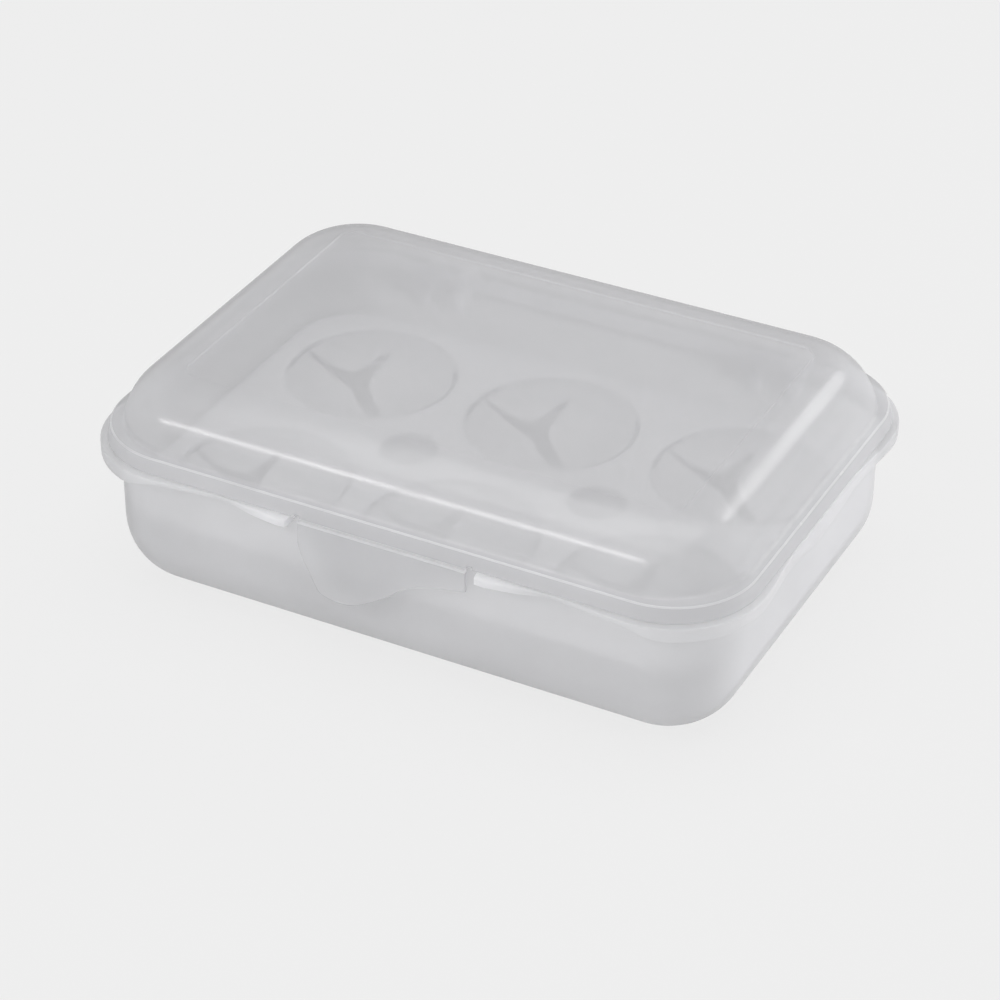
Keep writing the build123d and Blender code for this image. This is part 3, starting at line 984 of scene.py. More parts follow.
@dataclass
class FlipLid:
    """The lid: a dome with a sunk top panel, on a lip that sits on the tub's rim."""

    dome: Outline = Outline(0.0949, 0.0656, 0.0262)
    panel: Outline = Outline(0.0759, 0.0466, 0.0050)
    lip: Outline = Outline(0.0981, 0.0688, 0.0254)
    top: float = 0.0649
    wall: float = 0.0012
    dome_round: float = 0.0184
    # where the dome's round ends above the lip in degrees, outside and inside
    turn_ends: tuple[float, float] = (15.0, 11.0)
    # how far the corner and the end of the toe between dome and lip lie inside and outside the dome
    toe: tuple[float, float] = (0.00055, 0.0004)
    panel_depth: float = 0.0004
    panel_step: float = 0.0007
    panel_steps: int = 14
    lip_bottom: float = 0.0450
    lip_top: float = 0.0495
    lip_draft: float = 0.0012
    # how far below the lip's top and above its bottom its straight face runs
    straight: tuple[float, float] = (0.0012, 0.0006)
    edge_round: float = 0.0005
    edge_end: float = 8.0
    edge_rise: tuple[float, float] = (0.25, 0.97)
    foot_round: float = 0.00022
    groove_round: float = 0.0005
    notch: tuple[float, float] = (0.0254, 0.0270)
    notch_height: float = 0.0010
    hinge: HingeForm = HingeForm(HINGE_Y, HINGE_Z)
    hinge_x: float = 0.0550
    knuckle_half: float = 0.0045
    knuckle_radius: float = 0.0030
    knuckle_soft: float = 0.0003
    pin_radius: float = 0.0015
    pin_length: float = 0.0024
    pin_tip: float = 0.00025
    pin_tip_share: float = 0.3
    pin_root: float = 0.0001
    arm_angle: float = 37.0

    def stations(self) -> Stations:
        """Stops close together where the notches start and end."""
        long_end = self.lip.half_x - self.lip.corner
        short_end = self.lip.half_y - self.lip.corner
        long_stops = fine_stops(long_end, STOP_STEP, self.notch)
        return Stations(long_stops, fine_stops(short_end, STOP_STEP, ()))

    def lip_rows(self, out: np.ndarray, z: np.ndarray) -> np.ndarray:
        """Outlines that follow the lip's draft: drawn in by the draft's share of the height.

        Args:
            out: How far each lies outside the lip's outer face.
            z: Its height.

        Returns:
            One row for each outline.
        """
        z = np.asarray(z, float)
        lean = self.lip_draft * (z - self.lip_bottom) / (self.lip_top - self.lip_bottom)
        return self.lip.offset(np.asarray(out, float) - lean, z)

    def shell(self) -> bpy.types.Object:
        """The lid's dome, panel and lip: one profile carried round, outside and then inside.

        The profile runs from the middle of the sunk panel over its step, down the dome's
        quarter round to the ledge, round the lip, up the groove that clears the tub's
        wall and under the dome and the panel back to the middle.

        Returns:
            The piece.
        """
        stations, wall, small, soft = self.stations(), self.wall, self.foot_round, self.edge_round
        step_out = np.linspace(-self.panel_step, 0.0, 9)
        step = smooth(step_out, -self.panel_step, 0.0) * self.panel_depth - self.panel_depth
        floor = self.panel.grown(-self.panel_step)
        centre = (-self.dome_round, self.top - self.dome_round)
        turn = arc(centre, self.dome_round, 90, self.turn_ends[0], 40)
        toe = bend(tuple(turn[-1]), (-self.toe[0], self.lip_top), (self.toe[1], self.lip_top), 6)
        edge = arc((-soft, self.lip_top - soft), soft, 90, self.edge_end, 6)
        face = np.linspace(self.lip_top - self.straight[0], self.lip_bottom + self.straight[1], 5)
        foot = arc((-small, self.lip_bottom + small), small, 0, -90, 4)
        outside = np.vstack([
            floor.to_middle(self.top - self.panel_depth, self.panel_steps)[::-1],
            self.panel.offset(step_out, self.top + step),
            self.dome.offset(*turn.T),
            self.dome.offset(*toe[1:].T),
            self.lip_rows(*edge.T),
            self.lip_rows(0.0, face),
            self.lip_rows(*foot.T),
        ])
        groove, tight = self.lip_top - wall, self.groove_round
        tuck = arc((-wall - tight, groove - tight), tight, 0, 90, 4)
        inner_turn = arc(centre, self.dome_round - wall, self.turn_ends[1], 90, 36)
        under = self.top - wall
        inside = np.vstack([
            self.lip_rows(-wall + small, np.array([self.lip_bottom])),
            self.lip_rows(-wall, np.linspace(self.lip_bottom + small, groove - self.straight[1], 5)),
            self.lip_rows(*tuck.T),
            self.dome.offset(*inner_turn.T),
            self.panel.offset(step_out[::-1], under + step[::-1]),
            floor.to_middle(under - self.panel_depth, self.panel_steps),
        ])
        rings = np.vstack([stations.rings(outside), stations.rings(inside)])
        self.cut_notches(rings)
        return close_shell("lid_shell", rings)

    def cut_notches(self, rings: np.ndarray) -> None:
        """Lifts the lip's lower edge in the notch at each end of the latch flap.

        Args:
            rings: The shell's points, changed in place.
        """
        far = np.abs(rings[..., 0])
        front = rings[..., 1] < -self.dome.half_y
        inside = (far > self.notch[0]) & (far < self.notch[1]) & front
        roof = self.lip_bottom + self.notch_height
        rings[..., 2] = np.where(inside, np.maximum(rings[..., 2], roof), rings[..., 2])

    def knuckle(self, name: str, middle: float) -> bpy.types.Object:
        """One hinge knuckle: a barrel with an arm up to the lip and a pin at each end.

        Args:
            name: The piece's name.
            middle: The X of its middle.

        Returns:
            The piece.
        """
        lean = math.radians(180 - self.arm_angle)
        foot = (
            self.hinge.axis_y + self.knuckle_radius * math.cos(lean),
            self.hinge.axis_z + self.knuckle_radius * math.sin(lean),
        )
        corners = [
            (self.hinge.axis_y, self.hinge.axis_z + self.knuckle_radius),
            (self.lip.half_y - self.wall, self.lip_top - self.edge_round),
            (self.lip.half_y - self.wall / 2, self.lip_bottom + self.wall),
            foot,
        ]
        outline = self.hinge.reach(corners, self.knuckle_radius)
        half, pin, tip = self.knuckle_half, self.pin_radius, self.pin_tip
        end, bevel = half + self.pin_length, tip * self.pin_tip_share
        places = [(end, 0.0), (end, pin - tip), (end - bevel, pin - bevel), (end - tip, pin)]
        places += [(half, pin), (half, pin + self.pin_root)]
        places += [(half - x, outline - z) for x, z in quarter(3) * self.knuckle_soft]
        mirrored = [(-x, radius) for x, radius in places[::-1]]
        rings = self.hinge.rings([(middle + x, radius) for x, radius in places + mirrored])
        return close_shell(name, rings, HINGE_CREASE)

    def lip_edge(self, mesh: bpy.types.Mesh) -> np.ndarray:
        """Which faces lie on the rounding along the lip's upper edge.

        Args:
            mesh: The shell's mesh.

        Returns:
            True for each such face.
        """
        height = per_face(mesh, "center")[:, 2] - self.lip_top
        rise = per_face(mesh, "normal")[:, 2]
        band = (height > -self.edge_round) & (height < self.edge_round / 5)
        return band & (rise > self.edge_rise[0]) & (rise < self.edge_rise[1])

    def build(self, finishes: Finishes) -> None:
        """Makes the lid's pieces, dresses them and rides them on the lid.

        Args:
            finishes: The finishes of the box.
        """
        shell = self.shell()
        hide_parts("flip_lid")
        made = [shell]
        for side, word in ((-1, "left"), (1, "right")):
            made.append(self.knuckle(f"hinge_knuckle_{word}", side * self.hinge_x))
        for each in made:
            finishes.dress(each, Slot.LID)
            if each is shell:
                # the lip's upper rounding takes the edge finish: a painted glint over its real gloss
                finishes.dress_part(shell, finishes.edge, self.lip_edge(shell.data))
            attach(each, Body.LID.value)


# ---- latch flap -----------------------------------------------------------------------


@dataclass
class LatchFlap:
    """The latch: a thin flap with a finger lobe, which bends at a film along the lip."""

    half: float = 0.0254
    plane: float = -0.0692
    top: float = 0.04465
    thickness: float = 0.0012
    film: float = 0.00036
    film_top: float = 0.04512
    film_y: float = -0.06845
    lift_start: float = 0.03375
    lift_run: float = 0.0122
    lift: float = 0.0018
    bead_z: float = 0.0414
    bead_half: float = 0.0150
    bead_height: float = 0.0008
    bead_end: float = 0.0012
    # small steps where the film runs into the flap, in front and behind, and where the front's round starts
    neck_front: tuple[float, float] = (0.0001, 0.00012)
    neck_back: tuple[float, float, float] = (0.0001, 0.00008, 0.0003)
    neck_turn: float = 78.0
    # the side edges' two end sections: how much is left of them, and how far out they lie in half thicknesses
    cap_left: float = 0.7
    cap_out: tuple[float, float] = (0.35, 0.5)
    # how far below the flap's top the finish with the painted glint reaches, and below the film's top the
    # bend starts
    bright: float = 0.0005
    bend_inset: float = 0.0001
    crease: float = 35.0
    # the lower edge, in X and Z
    lobe: tuple[tuple[float, float], ...] = (
        (-0.0254, 0.0375), (-0.0249, 0.0352), (-0.0240, 0.0325), (-0.0222, 0.0294),
        (-0.0206, 0.0266), (-0.0188, 0.0243), (-0.0160, 0.0232), (-0.0120, 0.0228),
        (-0.0085, 0.0232), (-0.0054, 0.0245), (-0.0006, 0.0271), (0.0032, 0.0298),
        (0.0062, 0.0324), (0.0105, 0.0346), (0.0155, 0.0361), (0.0254, 0.0379),
    )

    def middle(self, z: np.ndarray) -> np.ndarray:
        """The flap's middle surface: upright, then outwards with the square of the drop.

        Args:
            z: Heights on the flap.

        Returns:
            The Y at each height.
        """
        t = np.clip((self.lift_start - z) / self.lift_run, 0, None)
        return self.plane - self.lift * t**2

    def sheet(self) -> bpy.types.Object:
        """The flap and its film: a closed section carried along the lower edge's curve.

        Each section runs down the front face, round the lower edge and up the back face,
        where a half-round bead swells over its middle. Both faces meet in the thin film
        that joins the lip.

        Returns:
            The piece.
        """
        x, low = through(self.lobe, 6).T
        half = self.thickness / 2
        axis, outer, inner = self.top - half, self.film_y - self.film / 2, self.film_y + self.film / 2
        ahead, above = self.neck_front
        front_top = np.vstack([
            [(outer, self.film_top), (outer - ahead, self.top + above)],
            arc((self.plane, axis), half, self.neck_turn, 180, 7),
        ])
        above, behind, below = self.neck_back
        back_top = np.array([
            (inner, self.film_top),
            (inner, self.top + above),
            (self.plane + half + behind, self.top - below),
            (self.plane + half, axis),
        ])
        share = np.linspace(0, 1, 26)[1:, None]
        foot = low + half
        z = axis + (foot - axis) * share
        front = np.stack([self.middle(z) - half, z], axis=-1)
        back = np.stack([self.middle(z) + half, z], axis=-1)
        bead = np.sqrt(np.clip(1 - ((z - self.bead_z) / self.bead_height) ** 2, 0, 1))
        ends = smooth(self.bead_half - np.abs(x), 0, self.bead_end)
        back[..., 0] += self.bead_height * bead * ends
        turn = np.linspace(0, math.pi, 9)[1:-1, None]
        edge = np.stack([
            self.middle(foot) - half * np.cos(turn),
            foot - half * np.sin(turn) + 0 * low,
        ], axis=-1)
        tops = [np.repeat(rows[:, None], len(x), axis=1) for rows in (front_top, back_top[::-1])]
        loop = np.concatenate([tops[0], front, edge, back[::-1], tops[1]])
        points = np.concatenate([np.broadcast_to(x[None, :, None], (*loop.shape[:2], 1)), loop], axis=-1)
        points = self.cap(points)
        number = numbers(points)
        return piece("latch_flap_sheet", points, quads(np.vstack([number, number[:1]])), self.crease)

    def cap(self, points: np.ndarray) -> np.ndarray:
        """Closes both side edges: the end sections shrink to their own middle line.

        Args:
            points: The sections' points, loop by station.

        Returns:
            The points with two rounded stations added at each end.
        """
        half = self.thickness / 2
        made = [points]
        for end, way in ((0, -1), (-1, 1)):
            section = points[:, end]
            mirror = section[::-1]
            middle = (section + mirror) / 2
            soft = middle + (section - middle) * self.cap_left
            soft[:, 0] += way * half * self.cap_out[0]
            shut = middle.copy()
            shut[:, 0] += way * half * self.cap_out[1]
            rows = [soft[:, None], shut[:, None]]
            made = [rows[1], rows[0], *made] if end == 0 else [*made, rows[0], rows[1]]
        joined = np.concatenate(made, axis=1)
        joined[..., 0] = np.clip(joined[..., 0], -self.half, self.half)
        return joined

    def build(self, finishes: Finishes) -> None:
        """Makes the flap, dresses it and bakes its place into its mesh.

        Args:
            finishes: The finishes of the box.
        """
        made = self.sheet()
        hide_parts("latch_flap")
        finishes.dress(made, Slot.LID)
        # the flap's top and film take the edge finish: a painted glint over their real gloss
        bright = per_face(made.data, "center")[:, 2] > self.top - self.bright
        finishes.dress_part(made, finishes.edge, bright)
        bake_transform(made)


# ---- egg tray -------------------------------------------------------------------------


def run(first: tuple, last: tuple, steps: int) -> np.ndarray:
    """Even points from first up to, but not at, last.

    Args:
        first: The first point.
        last: Where the run ends.
        steps: How many points there are.

    Returns:
        One row for each point.
    """
    share = (np.arange(steps) / steps)[:, None]
    return np.array(first) * (1 - share) + np.array(last) * share


@dataclass
class EggTray:
    """The tray: one moulded sheet with six slit cups, two hollow feet and a skirt.

    The numbers are those of its middle surface, which gets its thickness at the end.
    """

    flat: Outline = Outline(0.0905, 0.0612, 0.0178)
    level: float = 0.0270
    wall: float = 0.0010
    pitch: tuple[float, float] = (0.060, 0.063)
    skirt_round: float = 0.0015
    skirt_draft: float = 0.0013
    skirt_bottom: float = 0.0121
    cup_lip: float = 0.0267
    cup_wall: float = 0.0262
    wall_foot: float = 0.0260
    petal_rim: float = 0.0257
    petal_reach: float = 0.0243
    petal_fall: float = 0.0026
    petal_droop: float = 0.0003
    petal_shares: tuple[float, ...] = (0, 0.03, 0.10, 0.22, 0.36, 0.5, 0.64, 0.78, 0.9, 0.97, 1.0)
    # each petal's free edge, from the rim round the hub and back to the rim, in mm from the cup's middle
    petal_edges: tuple = (
        (
            (12.2, -21.0), (11.0, -19.2), (12.1, -16.8), (6.6, -10.0), (0.6, -2.6),
            (-1.5, 2.2), (-1.9, 8.0), (-1.9, 13.5), (-2.7, 16.6), (-2.5, 24.15),
        ),
        (
            (-2.7, 24.15), (-3.0, 16.6), (-4.6, 13.5), (-5.6, 8.0), (-7.0, 3.9),
            (-8.6, 2.6), (-12.2, 1.9), (-17.5, 2.6), (-21.5, 4.2), (-23.8, 4.8),
        ),
        (
            (-24.1, 3.1), (-21.5, 1.6), (-12.1, -2.6), (-3.9, -6.4), (-1.8, -8.2),
            (3.3, -13.6), (8.3, -18.2), (10.5, -19.0), (11.9, -21.2),
        ),
    )
    petal_stations: tuple[int, ...] = (60, 34, 50)
    relief: tuple[tuple[float, float], ...] = ((154.0, 195.0), (-46.0, 30.0))
    foot_lip: float = 0.0097
    foot_top: float = 0.0085
    foot_tip: float = 0.0045
    foot_floor: float = 0.0023
    mouth_round: float = 0.0013
    mouth_lean: float = 0.0001
    tip_round: tuple[float, float] = (0.0014, 0.0016)
    tip_lean: float = 0.0002
    cut_round: float = 0.00022
    foot_steps: int = 8

    def border(self, column: int, row: int) -> tuple[np.ndarray, int]:
        """The border of one cup's cell, which steps round the feet's mouths.

        Args:
            column: -1, 0 or 1 from the left.
            row: -1 in front or 1 behind.

        Returns:
            Its points in plan, and how many steps of it, from the first, lie on the skirt.
        """
        flat, line, lip, turn = self.flat, self.pitch[0] / 2, self.foot_lip, self.foot_steps
        edge = -flat.half_y
        if column == 0:
            outside = 36
            sides = [
                run((-line, edge), (line, edge), outside),
                run((line, edge), (line, -lip), 32),
                arc((line, 0), lip, -90, -180, turn)[:-1],
                run((line - lip, 0), (lip - line, 0), 28),
                arc((-line, 0), lip, 0, -90, turn)[:-1],
                run((-line, -lip), (-line, edge), 32),
            ]
        else:
            steps = (28, 18, 27)
            outside = sum(steps)
            bend_x, bend_y = flat.half_x - flat.corner, flat.corner - flat.half_y
            sides = [
                run((line, edge), (bend_x, edge), steps[0]),
                arc((bend_x, bend_y), flat.corner, -90, 0, steps[1])[:-1],
                run((flat.half_x, bend_y), (flat.half_x, 0), steps[2]),
                run((flat.half_x, 0), (line + lip, 0), 31),
                arc((line, 0), lip, 0, -90, turn)[:-1],
                run((line, -lip), (line, edge), 32),
            ]
        return np.vstack(sides) * (column if column else 1, -row), outside

    def stations(self) -> tuple[np.ndarray, np.ndarray, np.ndarray]:
        """Where a cup's points lie round it, and where they lie on the petals' free edges.

        Round the rim each petal's stations are even by angle, and along its free edge they
        are even by length.

        Returns:
            The angles, the matching points on the free edges, and for the face after each
            station whether it lies in an arm of the slot.
        """
        angles, edges, slot = [], [], []
        last = -180.0
        for knots, count in zip(self.petal_edges, self.petal_stations):
            curve = through([(x / 1000, y / 1000) for x, y in knots], 12)
            ends = np.degrees(np.arctan2(curve[[0, -1], 1], curve[[0, -1], 0]))
            first = last + (ends[0] - last) % 360
            last = first + (ends[1] - ends[0]) % 360
            length = np.concatenate([[0], np.cumsum(np.linalg.norm(np.diff(curve, axis=0), axis=1))])
            stops = np.linspace(0, length[-1], count)
            edges.append(np.stack([np.interp(stops, length, curve[:, k]) for k in (0, 1)], axis=1))
            angles.append(np.linspace(first, last, count))
            slot += [np.zeros(count - 1, bool), np.ones(1, bool)]
        return np.radians(np.concatenate(angles)), np.concatenate(edges), np.concatenate(slot)

    def cell(self, column: int, row: int) -> tuple[np.ndarray, np.ndarray]:
        """One cup with its share of the plate.

        Rings run from the cell's border over the flat plate to the cup's lip, down its
        low wall and over the petals. A petal's points lie on straight lines from the rim
        to its free edge, and its height falls evenly with the distance to the cup's
        middle: level + fall * (distance / radius - 1), with a slight droop at the tip.
        Relief cuts part the petals from the wall in the stated ranges of angle.

        Args:
            column: -1, 0 or 1 from the left.
            row: -1 in front or 1 behind.

        Returns:
            The points and the faces.
        """
        centre = np.array([column * self.pitch[0], row * self.pitch[1] / 2])
        angle, hub, slot = self.stations()
        around = np.stack([np.cos(angle), np.sin(angle)], axis=1)
        border = self.border(column, row)[0] - centre
        turn = np.unwrap(np.arctan2(border[:, 1], border[:, 0]))
        if turn[-1] < turn[0]:
            border = border[::-1]
        aim = border / np.linalg.norm(border, axis=1)[:, None]
        fits = [(np.roll(aim, k, axis=0) * around).sum() for k in range(len(aim))]
        border = np.roll(border, int(np.argmax(fits)), axis=0)
        share = np.linspace(0, 1, 7)[:, None, None]
        plate = border * (1 - share) + around * self.cup_lip * share
        rounded = self.cup_lip - self.cup_wall
        lip = arc((self.cup_lip, self.level - rounded), rounded, 90, 180, 4)[1:]
        low, wall = self.wall_foot, self.cup_wall
        foot = bend((wall, low + self.petal_droop), (wall, low), (self.petal_rim, low), 4)
        profile = np.vstack([lip, foot])
        share = np.array(self.petal_shares)[:, None, None]
        petals = around * self.petal_reach * (1 - share) + hub * share
        far = np.linalg.norm(petals, axis=-1) / self.petal_rim
        fall = low + self.petal_fall * (far - 1) - self.petal_droop * share[..., 0] ** 2
        flat = np.concatenate([plate, around * profile[:, 0, None, None], petals]) + centre
        height = np.concatenate([np.full(plate.shape[:2], self.level), profile[:, 1:] + 0 * angle, fall])
        points = np.concatenate([flat, height[..., None]], axis=-1)
        keep = np.ones((len(points) - 1, len(angle)), bool)
        first = len(plate) + len(profile)
        for start, end in self.relief:
            keep[first - 1] &= (np.degrees(angle) - start) % 360 > end - start
        keep[first:] = ~slot
        return points.reshape(-1, 3), quads(numbers(points), around=True, keep=keep)

    @staticmethod
    def carry(profile: np.ndarray, away: np.ndarray, start: np.ndarray) -> np.ndarray:
        """Carries a profile of reach and height along a line: start + away * reach, at each height.

        Args:
            profile: One row of reach and height for each point of the profile.
            away: The direction in plan in which the profile reaches out, at each station.
            start: Where the line runs in plan, at each station or for all of them.

        Returns:
            An array of rows by stations by three coordinates.
        """
        flat = start + away * profile[:, 0, None, None]
        height = np.broadcast_to(profile[:, 1, None, None], (*flat.shape[:2], 1))
        return np.concatenate([flat, height], axis=-1)

    def skirt(self, column: int, row: int) -> tuple[np.ndarray, np.ndarray]:
        """The skirt along one cell: the plate's edge moved out and down along its round.

        Args:
            column: -1, 0 or 1 from the left.
            row: -1 in front or 1 behind.

        Returns:
            The points and the faces.
        """
        border, outside = self.border(column, row)
        edge = border[: outside + 1]
        inner = np.array([self.flat.half_x, self.flat.half_y]) - self.flat.corner
        away = edge - np.clip(edge, -inner, inner)
        away /= np.linalg.norm(away, axis=1)[:, None]
        turn = arc((0, self.level - self.skirt_round), self.skirt_round, 90, 0, 6)
        fall = np.linspace(0, 1, 9)[1:]
        drop = self.level - self.skirt_round - self.skirt_bottom
        side = (self.skirt_round - self.skirt_draft * fall, self.level - self.skirt_round - drop * fall)
        profile = np.vstack([turn, np.stack(side, axis=1)])
        points = self.carry(profile, away, edge)
        return points.reshape(-1, 3), quads(numbers(points))

    def foot(self, side: int) -> tuple[np.ndarray, np.ndarray]:
        """One hollow foot: a round mouth, a long cone and a flat closed tip.

        Args:
            side: -1 for the left foot or 1 for the right.

        Returns:
            The points and the faces.
        """
        top, tip, floor = self.foot_top, self.foot_tip, self.foot_floor
        level = self.level
        below = (top - self.mouth_lean, level - self.mouth_round)
        mouth = bend((self.foot_lip, level), (top, level), below, 5)
        in_by, up_by = self.tip_round
        end = bend((tip + self.tip_lean, floor + up_by), (tip, floor), (tip - in_by, floor), 5)
        cone = run(tuple(mouth[-1]), tuple(end[0]), 12)[1:]
        profile = np.vstack([mouth, cone, end, [(tip / 2, floor), (0, floor)]])
        a = np.arange(4 * self.foot_steps) * 2 * math.pi / (4 * self.foot_steps)
        around = np.stack([np.cos(a), np.sin(a)], axis=1)
        points = self.carry(profile, around, np.array([side * self.pitch[0] / 2, 0.0]))
        return points.reshape(-1, 3), quads(numbers(points), around=True)

    def petals(self, mesh: bpy.types.Mesh) -> np.ndarray:
        """Which faces belong to the petals or the feet: those inside a cup's wall or a foot's mouth.

        Args:
            mesh: The tray's mesh.

        Returns:
            True for each such face.
        """
        flat = per_face(mesh, "center")[:, :2]
        column = np.clip(np.round(flat[:, 0] / self.pitch[0]), -1, 1) * self.pitch[0]
        row = np.where(flat[:, 1] < 0, -1, 1) * self.pitch[1] / 2
        cups = np.hypot(flat[:, 0] - column, flat[:, 1] - row) < self.petal_rim
        return cups | (np.hypot(np.abs(flat[:, 0]) - self.pitch[0] / 2, flat[:, 1]) < self.foot_top)

    def build(self, finishes: Finishes) -> None:
        """Makes the tray, dresses it and rides it on its body.

        Args:
            finishes: The finishes of the box.
        """
        cells = [(column, row) for column in (-1, 0, 1) for row in (-1, 1)]
        patches = [self.cell(*each) for each in cells] + [self.skirt(*each) for each in cells]
        patches += [self.foot(side) for side in (-1, 1)]
        starts = np.cumsum([0] + [len(points) for points, _ in patches])
        points = np.vstack([points for points, _ in patches])
        faces = np.vstack([faces + start for (_, faces), start in zip(patches, starts)])
        made = piece("tray_sheet", points, faces)
        thicken(made, self.wall, self.cut_round)
        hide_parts("egg_tray")
        finishes.dress(made, Slot.TRAY)
        finishes.dress_part(made, finishes.petal, self.petals(made.data))
        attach(made, Body.TRAY.value)


# ---- studio ---------------------------------------------------------------------------


@dataclass(frozen=True)
class Lamp:
    """A rectangular lamp that faces the box, with its size along long_axis and across it."""

    name: str
    where: tuple[float, float, float]
    size: tuple[float, float]
    power: float
    long_axis: tuple[float, float, float] = (1.0, 0.0, 0.0)
    mirrored: bool = True

    def build(self, target: Vector) -> None:
        """Hangs the lamp, so that its back points from the target to its place.

        Args:
            target: What it lights.
        """
        light = bpy.data.lights.new(self.name, "AREA")
        light.shape = "RECTANGLE"
        light.size, light.size_y = self.size
        light.energy = self.power
        made = bpy.data.objects.new(self.name, light)
        bpy.context.scene.collection.objects.link(made)
        back = (Vector(self.where) - target).normalized()
        along = Vector(self.long_axis)
        along = (along - back * along.dot(back)).normalized()
        turn = Matrix((along, back.cross(along), back)).transposed()
        made.matrix_world = Matrix.Translation(self.where) @ turn.to_4x4()
        made.visible_camera = False
        made.visible_glossy = self.mirrored


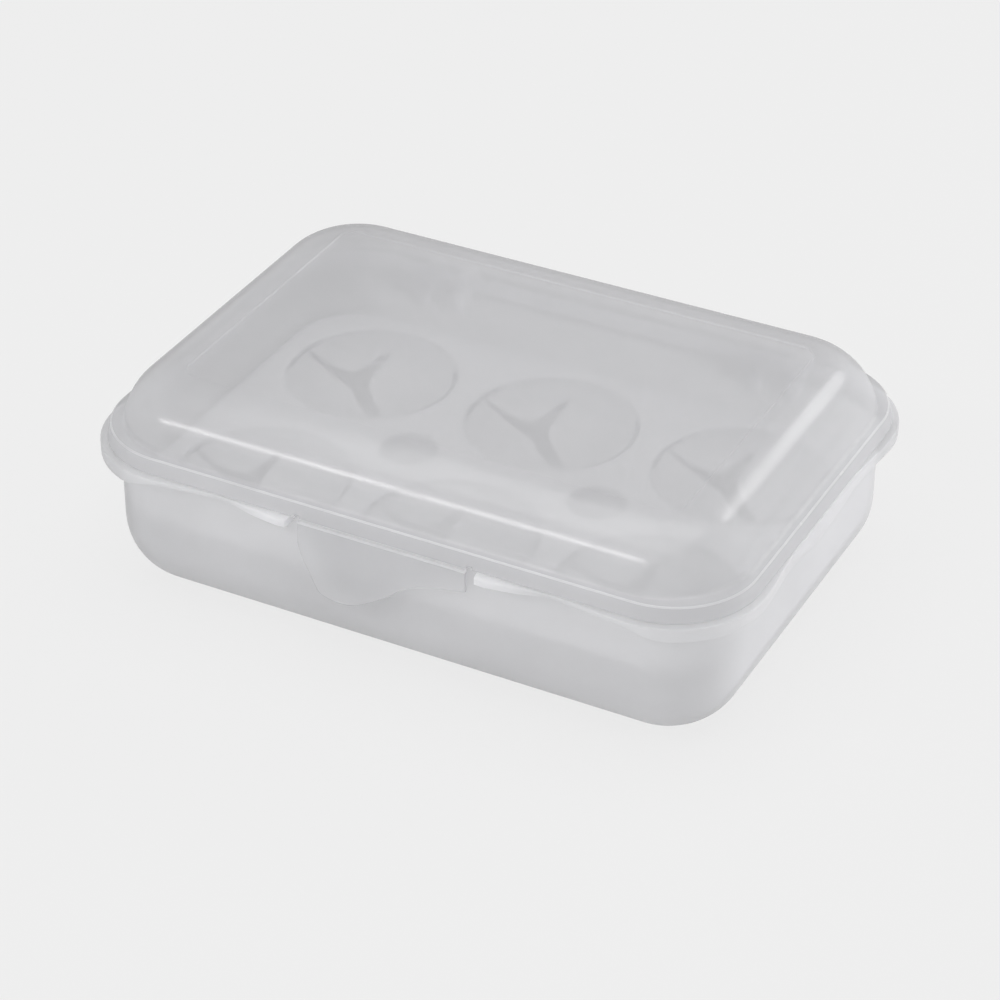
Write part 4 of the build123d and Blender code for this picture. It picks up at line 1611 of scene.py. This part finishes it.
@dataclass
class Studio:
    """A pale floor, a plain bright room, three lamps that the box mirrors and three soft fill lights.

    The eye sees the room and the floor in the backdrop's plain grey, and the floor keeps
    a faint shadow. Through the plastic both look darker, and less so right under the box,
    where the floor is painted lighter in the box's own shade.
    """

    backdrop: tuple[float, float, float] = (0.855, 0.855, 0.855)
    floor_tint: tuple[float, float, float] = (0.86, 0.86, 0.86)
    floor_half: float = 6.0
    floor_level: float = -0.00005
    plain_share: float = 0.92
    plain_level: float = 0.983
    room_strength: float = 0.64
    through_plastic: float = 0.36
    # painted light in the box's shade: the floor right under the box looks lighter through the plastic than
    # further out
    painted_light_under_box: float = 0.60
    footprint: tuple[float, float] = (0.072, 0.044)
    footprint_fade: float = 0.014
    target: tuple[float, float, float] = (0.0, 0.0, 0.045)
    lamps: tuple[Lamp, ...] = (
        Lamp("box_above", (0.0, 0.0, 1.60), (1.6, 1.6), 13.0),
        Lamp("strip_front", (-0.605, -1.006, 0.930), (1.3, 0.13), 4.0),
        Lamp("box_behind", (0.453, 1.157, 0.830), (0.36, 0.25), 1.25, (0.787, -0.308, 0.0)),
        Lamp("card_right", (0.66, 0.52, 0.05), (0.6, 0.16), 6.0, (0.6, -0.7, 0.0), mirrored=False),
        Lamp("fill_front", (0.05, -1.20, 0.25), (1.2, 0.5), 1.4, mirrored=False),
        Lamp("card_front", (-0.35, -1.30, 0.42), (1.4, 0.35), 1.0, mirrored=False),
    )

    def room(self) -> None:
        """An even grey light from all round, which the camera and reflections see as the backdrop."""
        world = bpy.data.worlds.new("room")
        bpy.context.scene.world = world
        maker = NodeMaker(world)
        lit = maker.add("Background", {"Color": (1, 1, 1, 1), "Strength": self.room_strength})
        strength = self.by_way(maker, 1.0, self.through_plastic)
        seen = maker.add("Background", {"Color": (*self.backdrop, 1), "Strength": strength})
        maker.finish("OutputWorld", maker.mix(self.sight(maker), lit, seen))

    @staticmethod
    def sight(maker: NodeMaker) -> Socket:
        """1 for rays that the eye, a reflection or a clear body sends, and 0 for the rest.

        Args:
            maker: The node tree's maker.

        Returns:
            The switch.
        """
        camera, glossy, passed = (
            maker.add("LightPath", {}, f"Is {ray} Ray")
            for ray in ("Camera", "Glossy", "Transmission")
        )
        return maker.sum("MAXIMUM", maker.sum("MAXIMUM", camera, glossy), passed)

    @staticmethod
    def by_way(maker: NodeMaker, openly: float, through: Socket | float) -> Socket:
        """One value for what is seen openly, and another for what is seen through the plastic.

        Args:
            maker: The node tree's maker.
            openly: The one value.
            through: The other.

        Returns:
            The value.
        """
        depth = maker.add("LightPath", {}, "Transparent Depth")
        passed = maker.sum("GREATER_THAN", depth, 0.5)
        return maker.add("Mix", {"A": openly, "B": through, "Factor": passed}, "Result", data_type="FLOAT")

    def below(self, maker: NodeMaker) -> Socket:
        """How bright the floor looks through the plastic, painted lighter right under the box.

        With d = max(|x| - half x, |y| - half y) it falls evenly from the painted light under the box at d = 0
        to through_plastic at d = footprint_fade.

        Args:
            maker: The floor's maker.

        Returns:
            The strength.
        """
        past = []
        for axis, half in zip("XY", self.footprint):
            along = maker.add("SeparateXYZ", {0: maker.place()}, axis)
            past.append(maker.sum("SUBTRACT", maker.sum("ABSOLUTE", along), half))
        ends = (self.painted_light_under_box, self.through_plastic)
        return maker.fit(maker.sum("MAXIMUM", *past), (0.0, self.footprint_fade), ends)

    def ground(self) -> None:
        """A wide pale floor that the box stands on."""
        x, y = np.array([(-1, -1), (1, -1), (1, 1), (-1, 1)]).T * self.floor_half
        corners = np.stack([x, y, np.full(len(x), self.floor_level)], axis=1)
        made = piece("floor", corners, np.array([[0, 1, 2, 3]]))
        paint = bpy.data.materials.new("floor_paint")
        maker = NodeMaker(paint)
        matt = maker.add("BsdfDiffuse", {"Color": (*self.floor_tint, 1)})
        strength = self.by_way(maker, self.plain_level, self.below(maker))
        plain = maker.add("Emission", {"Color": (*self.backdrop, 1), "Strength": strength})
        share = maker.sum("MULTIPLY", self.sight(maker), self.by_way(maker, self.plain_share, 1.0))
        maker.finish("OutputMaterial", maker.mix(share, matt, plain))
        made.data.materials.append(paint)

    def build(self) -> None:
        """Makes the room, the floor and the lamps."""
        self.room()
        self.ground()
        for lamp in self.lamps:
            lamp.build(Vector(self.target))


@dataclass
class ProductCamera:
    """A long-lens camera in front, to the right and above."""

    pitch: float = 33.39
    yaw: float = 27.46
    roll: float = 0.15
    distance: float = 0.91518
    aim: tuple[float, float, float] = (0.0, 0.0, 0.025)
    slide: tuple[float, float] = (-0.0004, -0.0052)
    lens: float = 116.18
    sensor: float = 36.0

    def build(self) -> None:
        """Stands the camera back from its aim along its own axis and turns it there."""
        pitch, yaw, roll = (math.radians(a) for a in (self.pitch, self.yaw, self.roll))
        level = math.cos(pitch)
        ahead = Vector((-math.sin(yaw) * level, math.cos(yaw) * level, -math.sin(pitch)))
        right = Vector((math.cos(yaw), math.sin(yaw), 0))
        up = right.cross(ahead)
        where = Vector(self.aim) - ahead * self.distance + right * self.slide[0] + up * self.slide[1]
        across = right * math.cos(roll) + up * math.sin(roll)
        upright = up * math.cos(roll) - right * math.sin(roll)
        lens = bpy.data.cameras.new("product_camera")
        lens.lens = self.lens
        lens.sensor_width = self.sensor
        lens.clip_start, lens.clip_end = 0.01, 50.0
        made = bpy.data.objects.new("product_camera", lens)
        bpy.context.scene.collection.objects.link(made)
        turn = Matrix((across, upright, -ahead)).transposed()
        made.matrix_world = Matrix.Translation(where) @ turn.to_4x4()
        bpy.context.scene.camera = made


def main() -> None:
    """Builds the finishes, the pieces and the studio."""
    logging.basicConfig(level=logging.INFO, format="%(name)s %(message)s")
    finishes = Finishes()
    finishes.build()
    BaseTub().build(finishes)
    FlipLid().build(finishes)
    LatchFlap().build(finishes)
    EggTray().build(finishes)
    Studio().build()
    ProductCamera().build()
    scene = bpy.context.scene
    scene.view_settings.view_transform = "Standard"
    scene.cycles.transparent_max_bounces = 32


if __name__ == "__main__":
    main()
